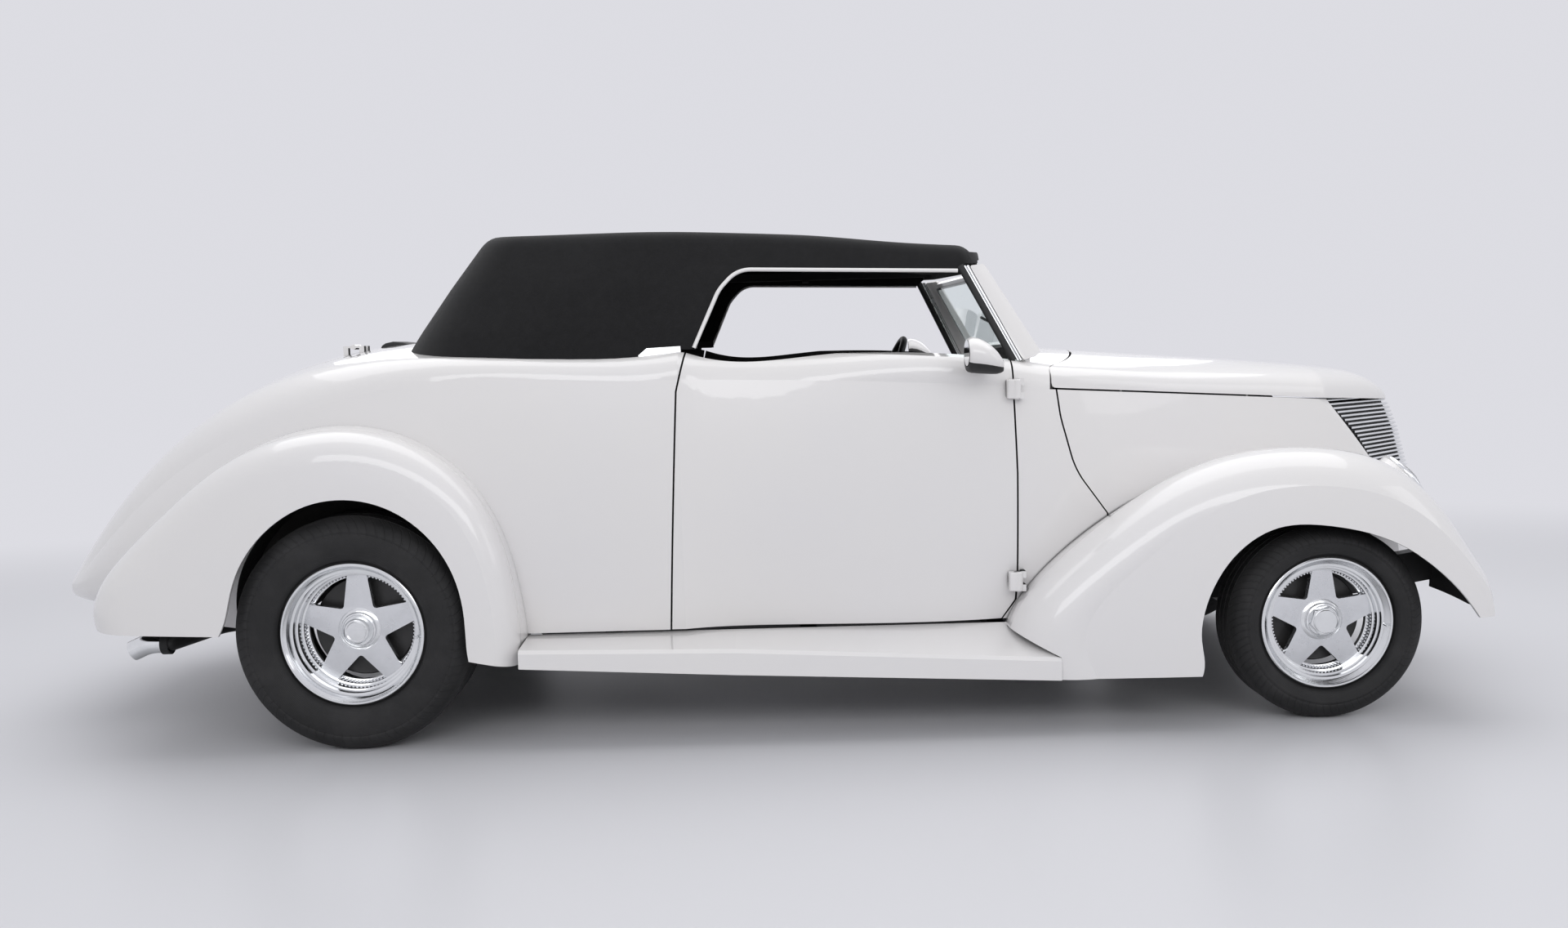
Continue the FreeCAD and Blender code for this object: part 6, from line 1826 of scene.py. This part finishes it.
# ------------------------------------------------------------------ fittings on the body
@dataclass
class Fittings:
    """Hinge covers, screen posts and seals, rear lamps, door mirrors and the whole exhaust."""

    hinge_x: float = 1.947
    hinge_y: float = 0.7233
    hinge_levels: tuple[float, float] = (0.996, 0.424)
    cover_tall: float = 0.056
    lamp_place: Point = (-0.628, -0.585, 0.560)
    lamp_out: float = 0.004
    mirror_y: float = -0.838
    mirror_z: float = 1.106
    pipe_y: float = -0.300
    pipe_z: float = 0.175
    tip_y: float = -0.600
    tip_z: float = 0.285

    def block(self, name: str, low: Point, high: Point, bevel: float) -> bpy.types.Object:
        """Makes a softened block between two corners."""
        x0, x1 = fore(low[0]), fore(high[0])
        outline = [(x0, low[2]), (x1, low[2]), (x1, high[2]), (x0, high[2])]
        obj = Bench.plate(name, outline, low[1], high[1])
        return Bench.smooth(Bench.bevel(obj, bevel, 4, 40.0), 40.0)

    def hinges(self) -> None:
        """Caps each door hinge with a painted block and a barrel."""
        for index, level in enumerate(self.hinge_levels):
            low, high = level - self.cover_tall / 2.0, level + self.cover_tall / 2.0
            leaf = self.block("leaf", (self.hinge_x - 0.026, -self.hinge_y - 0.013, low),
                              (self.hinge_x + 0.006, -self.hinge_y + 0.024, high), 0.0035)
            tall = self.cover_tall
            profile = [(0.0, 0.0), (0.0, 0.0125), (0.002, 0.0145), (tall - 0.002, 0.0145), (tall, 0.0125),
                       (tall, 0.0)]
            foot = (fore(self.hinge_x), -self.hinge_y, low)
            barrel = Bench.lathe("barrel", profile, foot, (0.0, 0.0, 1.0), 40)
            Bench.smooth(barrel, 35.0)
            cover = Bench.joined([leaf, barrel], f"hinge_cover_{index}")
            mount_pair(cover, PAINT_TRIM, ("door_right", "door_left"))

    def ribbon(self, name: str, spine: Sequence[tuple[Point, Point, float]],
               thick: float) -> bpy.types.Object:
        """Lofts a post between stations.

        Args:
            name: Name of the piece.
            spine: Stations as (front edge, rear edge, bulge outwards).
            thick: How deep the post is.

        Returns:
            The post.
        """
        points: list[Point] = []
        count = 7
        for front, back, bulge in spine:
            a = Vector((fore(front[0]), front[1], front[2]))
            b = Vector((fore(back[0]), back[1], back[2]))
            for k in range(count):
                share = k / (count - 1)
                out = bulge * math.sin(math.pi * share) ** 0.6
                p = a.lerp(b, share)
                points.append((p.x, p.y - out, p.z))
        obj = Bench.mesh(name, points, lofted(len(spine), count, False))
        Bench.facing(obj, Vector((0.0, -1.0, 0.0)))
        Bench.modify(obj, "SUBSURF", levels=2, render_levels=2)
        Bench.modify(obj, "SOLIDIFY", thickness=thick, offset=-1.0)
        return Bench.smooth(obj, 50.0)

    def posts(self) -> None:
        """Stands the painted screen posts with their mouldings and seals."""
        levels = (0.0, 0.12, 0.35, 0.65, 0.90, 1.0)
        front_foot, front_head = (2.046, -0.606, 1.100), (1.884, -0.552, 1.372)
        rear_foot, rear_head = (1.984, -0.642, 1.078), (1.836, -0.582, 1.366)
        stations = []
        for share in levels:
            front = tuple(mix(a, b, share) for a, b in zip(front_foot, front_head))
            back = tuple(mix(a, b, share) for a, b in zip(rear_foot, rear_head))
            stations.append((front, back, 0.006))
        post = self.ribbon("screen_post", stations, 0.012)
        mount_pair(post, PAINT_TRIM)
        for name, shift, radius, finish, slot in (("post_moulding", 0.006, 0.0048, ALUMINIUM, "chrome"),
                                                  ("post_bead", 0.015, 0.0034, ALUMINIUM, "chrome"),
                                                  ("post_seal", 0.028, 0.0105, RUBBER, "black_plastic")):
            path = [(fore(back[0] - shift), back[1] + 0.004, back[2]) for _, back, _ in stations]
            mount_pair(Bench.tube(name, path, radius, flat=0.8), finish)

    def brake_lamp(self) -> None:
        """Sets the low brake lamp on the deck: black case and red lens."""
        outline = [(-0.080, 1.140), (-0.080, 1.172), (-0.066, 1.181), (-0.040, 1.186), (-0.008, 1.182),
                   (0.018, 1.174), (0.023, 1.166), (0.023, 1.140)]
        case = Bench.plate("brake_lamp_case", [(fore(x), z) for x, z in outline], -0.095, 0.095)
        Bench.bevel(case, 0.005)
        mount(Bench.smooth(case, 45.0), TRIM_BLACK, node="rear_lamps")
        lens = self.block("brake_lamp_lens", (-0.083, -0.084, 1.153), (-0.078, 0.084, 1.169), 0.0015)
        mount(lens, RED_LENS, node="rear_lamps")

    def tail_lamps(self) -> None:
        """Seats a round lamp on each rear fender's back."""
        x, y, z = self.lamp_place
        place = Surface("rear_fenders").hit(Vector((fore(-1.3), y, z)), Vector((1.0, 0.0, 0.0)))
        seat = place.x if place is not None else fore(x)
        middle, way = (seat + self.lamp_out, y, z), (1.0, 0.0, 0.3)
        ring = Bench.lathe("tail_ring", [(-0.014, 0.034), (-0.014, 0.0), (0.012, 0.0), (0.012, 0.042),
                                         (0.006, 0.046), (0.0, 0.046), (-0.006, 0.043), (-0.011, 0.039)],
                           middle, way, 56)
        lens = Bench.lathe("tail_lens", [(-0.011, 0.035), (-0.016, 0.031), (-0.021, 0.020), (-0.0225, 0.010),
                                         (-0.023, 0.0), (-0.006, 0.0), (-0.006, 0.035)], middle, way, 56)
        Bench.smooth(ring, 40.0)
        Bench.smooth(lens, 40.0)
        mount_pair(ring, CHROME, nodes=("rear_lamps",))
        mount_pair(lens, RED_LENS, nodes=("rear_lamps",))

    def mirror_rings(self, drop: float, inward: float, scale: float) -> list[list[Vector]]:
        """Draws the mirror head's ovals from its flat back to its nose.

        Args:
            drop: How far below the head they lie.
            inward: How far nearer the door they lie.
            scale: Their size for the head's.

        Returns:
            The rings of points.
        """
        rows = ((1.788, 1.106, 0.040, 0.058), (1.791, 1.106, 0.0425, 0.061), (1.800, 1.106, 0.0455, 0.0635),
                (1.820, 1.103, 0.0445, 0.0625), (1.838, 1.098, 0.041, 0.060), (1.856, 1.091, 0.035, 0.053),
                (1.872, 1.083, 0.027, 0.044), (1.884, 1.076, 0.017, 0.030), (1.891, 1.072, 0.009, 0.017),
                (1.893, 1.071, 0.003, 0.006))
        rings = []
        for x, z, tall, wide in rows:
            turns = [2.0 * math.pi * k / 48 for k in range(48)]
            rings.append([Vector((fore(x), self.mirror_y + inward + wide * scale * math.cos(t),
                                  z - drop + tall * scale * math.sin(t))) for t in turns])
        return rings

    def shell(self, name: str, rings: Sequence[Sequence[Vector]]) -> bpy.types.Object:
        """Skins a row of rings and closes both ends."""
        n = len(rings[0])
        points = [tuple(p) for ring in rings for p in ring]
        faces = lofted(len(rings), n)
        faces += [tuple(range(n)), tuple(range((len(rings) - 1) * n, len(rings) * n))]
        return Bench.smooth(Bench.outward(Bench.mesh(name, points, faces)), 40.0)

    def mirrors(self) -> None:
        """Hangs a flat-backed mirror on each door over its black gasket."""
        head = self.shell("mirror_head", self.mirror_rings(0.0, 0.0, 1.0))
        base = self.shell("mirror_gasket", self.mirror_rings(0.013, 0.008, 0.97))
        foot = self.block("foot", (1.822, -0.828, 1.046), (1.878, -0.745, 1.064), 0.005)
        base = Bench.joined([base, foot], "mirror_gasket")
        glass = Bench.lathe("mirror_glass", [(0.0, 0.0), (0.0, 0.036), (-0.0015, 0.037), (-0.0015, 0.0)],
                            (fore(1.788), self.mirror_y, self.mirror_z), (1.0, 0.0, 0.0), 48)
        for vertex in glass.data.vertices:
            vertex.co.y = self.mirror_y + (vertex.co.y - self.mirror_y) * 1.46
        for piece, finish, slot in ((head, PAINT_TRIM, "pearl_paint"), (base, RUBBER, "black_plastic"),
                                    (glass, CHROME, "glass")):
            mount_pair(piece, finish, ("door_right", "door_left"), ("mirror_right", "mirror_left"))

    def bent(self, path: Sequence[Point], reach: float = 0.06, steps: int = 6) -> list[Point]:
        """Rounds the corners of a run of straight lengths."""
        turned = [Vector(path[0])]
        for before, here, after in zip(path, path[1:], path[2:]):
            corner = Vector(here)
            back, on = Vector(before) - corner, Vector(after) - corner
            cut = min(reach, back.length * 0.48, on.length * 0.48)
            start, stop = corner + back.normalized() * cut, corner + on.normalized() * cut
            for k in range(steps + 1):
                share = k / steps
                turned.append(start.lerp(corner, share).lerp(corner.lerp(stop, share), share))
        turned.append(Vector(path[-1]))
        return [tuple(p) for p in turned]

    def exhaust(self) -> None:
        """Runs the twin pipes, mufflers, hangers, clamps and turned-down bright tips."""
        y, z, tip_y, tip_z = self.pipe_y, self.pipe_z, self.tip_y, self.tip_z
        run = [(2.180, y, z), (0.300, y, z), (0.130, y, 0.425), (-0.190, y, 0.425), (-0.400, y, tip_z),
               (-0.560, y, tip_z), (-0.630, tip_y, tip_z), (-0.664, tip_y, tip_z)]
        path = self.bent([(fore(a), b, c) for a, b, c in run], 0.10)
        pipe = Bench.tube("exhaust_pipe", path, 0.028, resolution=6)
        mount_pair(pipe, FRAME_BLACK, nodes=("exhaust",))
        can = [(0.0, 0.028), (0.004, 0.048), (0.016, 0.058), (0.404, 0.058), (0.416, 0.048), (0.420, 0.028)]
        muffler = Bench.lathe("muffler", can, (fore(0.930), y, z), (1.0, 0.0, 0.0), 48)
        Bench.smooth(muffler, 40.0)
        mount_pair(muffler, STEEL, nodes=("exhaust",))
        for index, x in enumerate((1.500, 0.580)):
            low, high = (x, y - 0.010, 0.190), (x + 0.018, y + 0.010, 0.330)
            hanger = self.block(f"exhaust_hanger_{index}", low, high, 0.003)
            mount_pair(hanger, FRAME_BLACK, nodes=("exhaust",))
        tip_run = [(-0.636, tip_y, tip_z), (-0.690, tip_y, tip_z), (-0.742, tip_y, 0.262)]
        path = self.bent([(fore(a), b, c) for a, b, c in tip_run], 0.03)
        tip = Bench.bevel(Bench.tube("exhaust_tip", path, 0.0315, resolution=8), 0.002, 2)
        mount_pair(Bench.smooth(tip, 40.0), CHROME, nodes=("exhaust",))
        bore = Bench.lathe("tip_bore", [(0.0, 0.0), (0.0, 0.027), (-0.0012, 0.027), (-0.0012, 0.0)],
                           (fore(-0.742), tip_y, 0.262), (1.0, 0.0, 0.44), 40)
        mount_pair(bore, RUBBER, nodes=("exhaust",))
        band = [(-0.010, 0.027), (-0.012, 0.036), (0.012, 0.036), (0.010, 0.027)]
        clamp = Bench.lathe("exhaust_clamp", band, (fore(-0.634), tip_y, tip_z), (1.0, 0.0, 0.0), 40)
        Bench.smooth(clamp, 40.0)
        mount_pair(clamp, RUBBER, nodes=("exhaust",))

    def build(self) -> None:
        """Makes every fitting."""
        self.hinges()
        self.posts()
        self.brake_lamp()
        self.tail_lamps()
        self.mirrors()
        self.exhaust()
        log.info("fittings")


# ------------------------------------------------------------------ seats
@dataclass
class Seats:
    """The bench seat's cushion and back: swelled vinyl pads with sewn flutes and welt piping."""

    shrink: float = 0.014
    voxel: float = 0.012
    pressure: float = 4.0
    frames: int = 20
    cap: float = 0.022
    pitch: float = 0.088
    groove: float = 0.008
    groove_half: float = 0.009
    margin: float = 0.085
    welt: float = 0.0045

    def pad(self, node: str) -> bpy.types.Object:
        """Copies a CAD cushion as one closed skin, drawn in a little."""
        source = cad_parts[node].data
        obj = Bench.mesh(node + "_pad", [v.co.copy() for v in source.vertices],
                         [tuple(p.vertices) for p in source.polygons])
        Bench.edit(obj)
        bpy.ops.mesh.remove_doubles(threshold=0.0001)
        bpy.ops.mesh.normals_make_consistent(inside=False)
        Bench.close()
        Bench.modify(obj, "DISPLACE", strength=-self.shrink, mid_level=0.0)
        Bench.modify(obj, "REMESH", mode="VOXEL", voxel_size=self.voxel)
        return obj

    def swell(self, obj: bpy.types.Object) -> None:
        """Fills the pad by cloth simulation and caps how far each point moves."""
        homes = [v.co.copy() for v in obj.data.vertices]
        Bench.hold(obj)
        cloth = obj.modifiers.new("swell", "CLOTH")
        cloth.settings.use_pressure = True
        cloth.settings.uniform_pressure_force = self.pressure
        cloth.settings.effector_weights.gravity = 0.0
        for step in range(1, self.frames + 1):
            bpy.context.scene.frame_set(step)
        bpy.ops.object.modifier_apply(modifier="swell")
        bpy.context.scene.frame_set(1)
        for vertex, home in zip(obj.data.vertices, homes):
            move = vertex.co - home
            if move.length > self.cap:
                vertex.co = home + move.normalized() * self.cap

    def sew(self, obj: bpy.types.Object, way: Vector, half: float, span: tuple[float, float]) -> None:
        """Draws the flutes down into the pad's face.

        Args:
            obj: The pad.
            way: Which way the face looks.
            half: Half the pad's width.
            span: Where the flutes start and end, as shares of the pad's depth.
        """
        places = [v.co.x if way.z > 0.5 else v.co.z for v in obj.data.vertices]
        low, high = min(places), max(places)
        faced = [v.normal.dot(way) for v in obj.data.vertices]
        for vertex, facing, place in zip(obj.data.vertices, faced, places):
            along = (place - low) / (high - low)
            inside = smooth((facing - 0.6) / 0.3) * smooth((along - span[0]) / 0.06)
            inside *= smooth((span[1] - along) / 0.06)
            inside *= smooth((half - self.margin - abs(vertex.co.y)) / 0.02)
            if inside > 0.0:
                off = (vertex.co.y / self.pitch - round(vertex.co.y / self.pitch)) * self.pitch
                vertex.co -= way * (self.groove * inside * math.exp(-(off / self.groove_half) ** 2))

    def piping(self, obj: bpy.types.Object, way: Vector, name: str, inset: float) -> bpy.types.Object:
        """Lays a welt round the pad's face, seated on it."""
        tree = BVHTree.FromPolygons([v.co.copy() for v in obj.data.vertices],
                                    [tuple(p.vertices) for p in obj.data.polygons])
        flat = way.z > 0.5
        ends = [(v.co.x if flat else v.co.z) for v in obj.data.vertices if v.normal.dot(way) > 0.75]
        low, high = min(ends) + inset, max(ends) - inset
        half = max(v.co.y for v in obj.data.vertices) - inset - 0.02
        loop = rounded([(low, -half), (high, -half), (high, half), (low, half)], [0.06] * 4, True, 8)
        path = []
        for (a, ya), (b, yb) in zip(loop, loop[1:] + loop[:1]):
            count = max(1, int(math.hypot(b - a, yb - ya) / 0.025))
            for k in range(count):
                along, y = mix(a, b, k / count), mix(ya, yb, k / count)
                start = Vector((along, y, 2.0)) if flat else Vector((fore(1.3), y, along))
                place = tree.ray_cast(start, -way, 3.0)[0]
                if place is not None:
                    path.append(tuple(place + way * 0.001))
        return Bench.tube(name, path, self.welt, closed=True, resolution=3)

    def build(self) -> None:
        """Makes, fills and sews both pads."""
        for node, way, span in (("seat_cushion", Vector((0.0, 0.0, 1.0)), (0.12, 0.86)),
                                ("seat_back", Vector((0.97, 0.0, 0.24)).normalized(), (0.10, 0.84))):
            pad = self.pad(node)
            self.swell(pad)
            Bench.modify(pad, "SMOOTH", factor=0.5, iterations=3)
            Bench.modify(pad, "SUBSURF", levels=1, render_levels=1)
            self.sew(pad, way, 0.600, span)
            Bench.smooth(pad, 60.0)
            welt = self.piping(pad, Vector((0.0, 0.0, 1.0)) if way.z > 0.5 else Vector((1.0, 0.0, 0.0)),
                               node + "_welt", 0.030)
            mount(pad, SEAT_VINYL, node=node)
            mount(welt, PANEL_VINYL, node=node)
        log.info("seats")


@dataclass
class Remainder:
    """Nodes that keep their CAD shape and only get a finish."""

    def dress(self) -> None:
        """Dresses them."""
        FRAME_BLACK.dress("frame_rails", "crossmembers", "rear_axle", "suspension", "fuel_tank",
                          "knuckle_right", "knuckle_left")
        CAST_IRON.dress("engine_block")
        CARPET.dress("floor_pan")
        TRIM_BLACK.dress("wipers")
        PAINT_TRIM.dress("windshield_frame", "dashboard")
        SCREEN_GLASS.dress("windshield_glass")
        TRIM_BLACK.dress("steering_wheel")


def main() -> None:
    """Builds and dresses the car."""
    logging.basicConfig(level=logging.INFO, format="%(message)s")
    Studio().build()
    Bodywork().dress()
    ClothTop().build()
    for wheel in wheels():
        wheel.build()
    Hood().build()
    HeadLamp().build()
    Grille().build()
    Fittings().build()
    Seats().build()
    Remainder().dress()


if __name__ == "__main__":
    main()
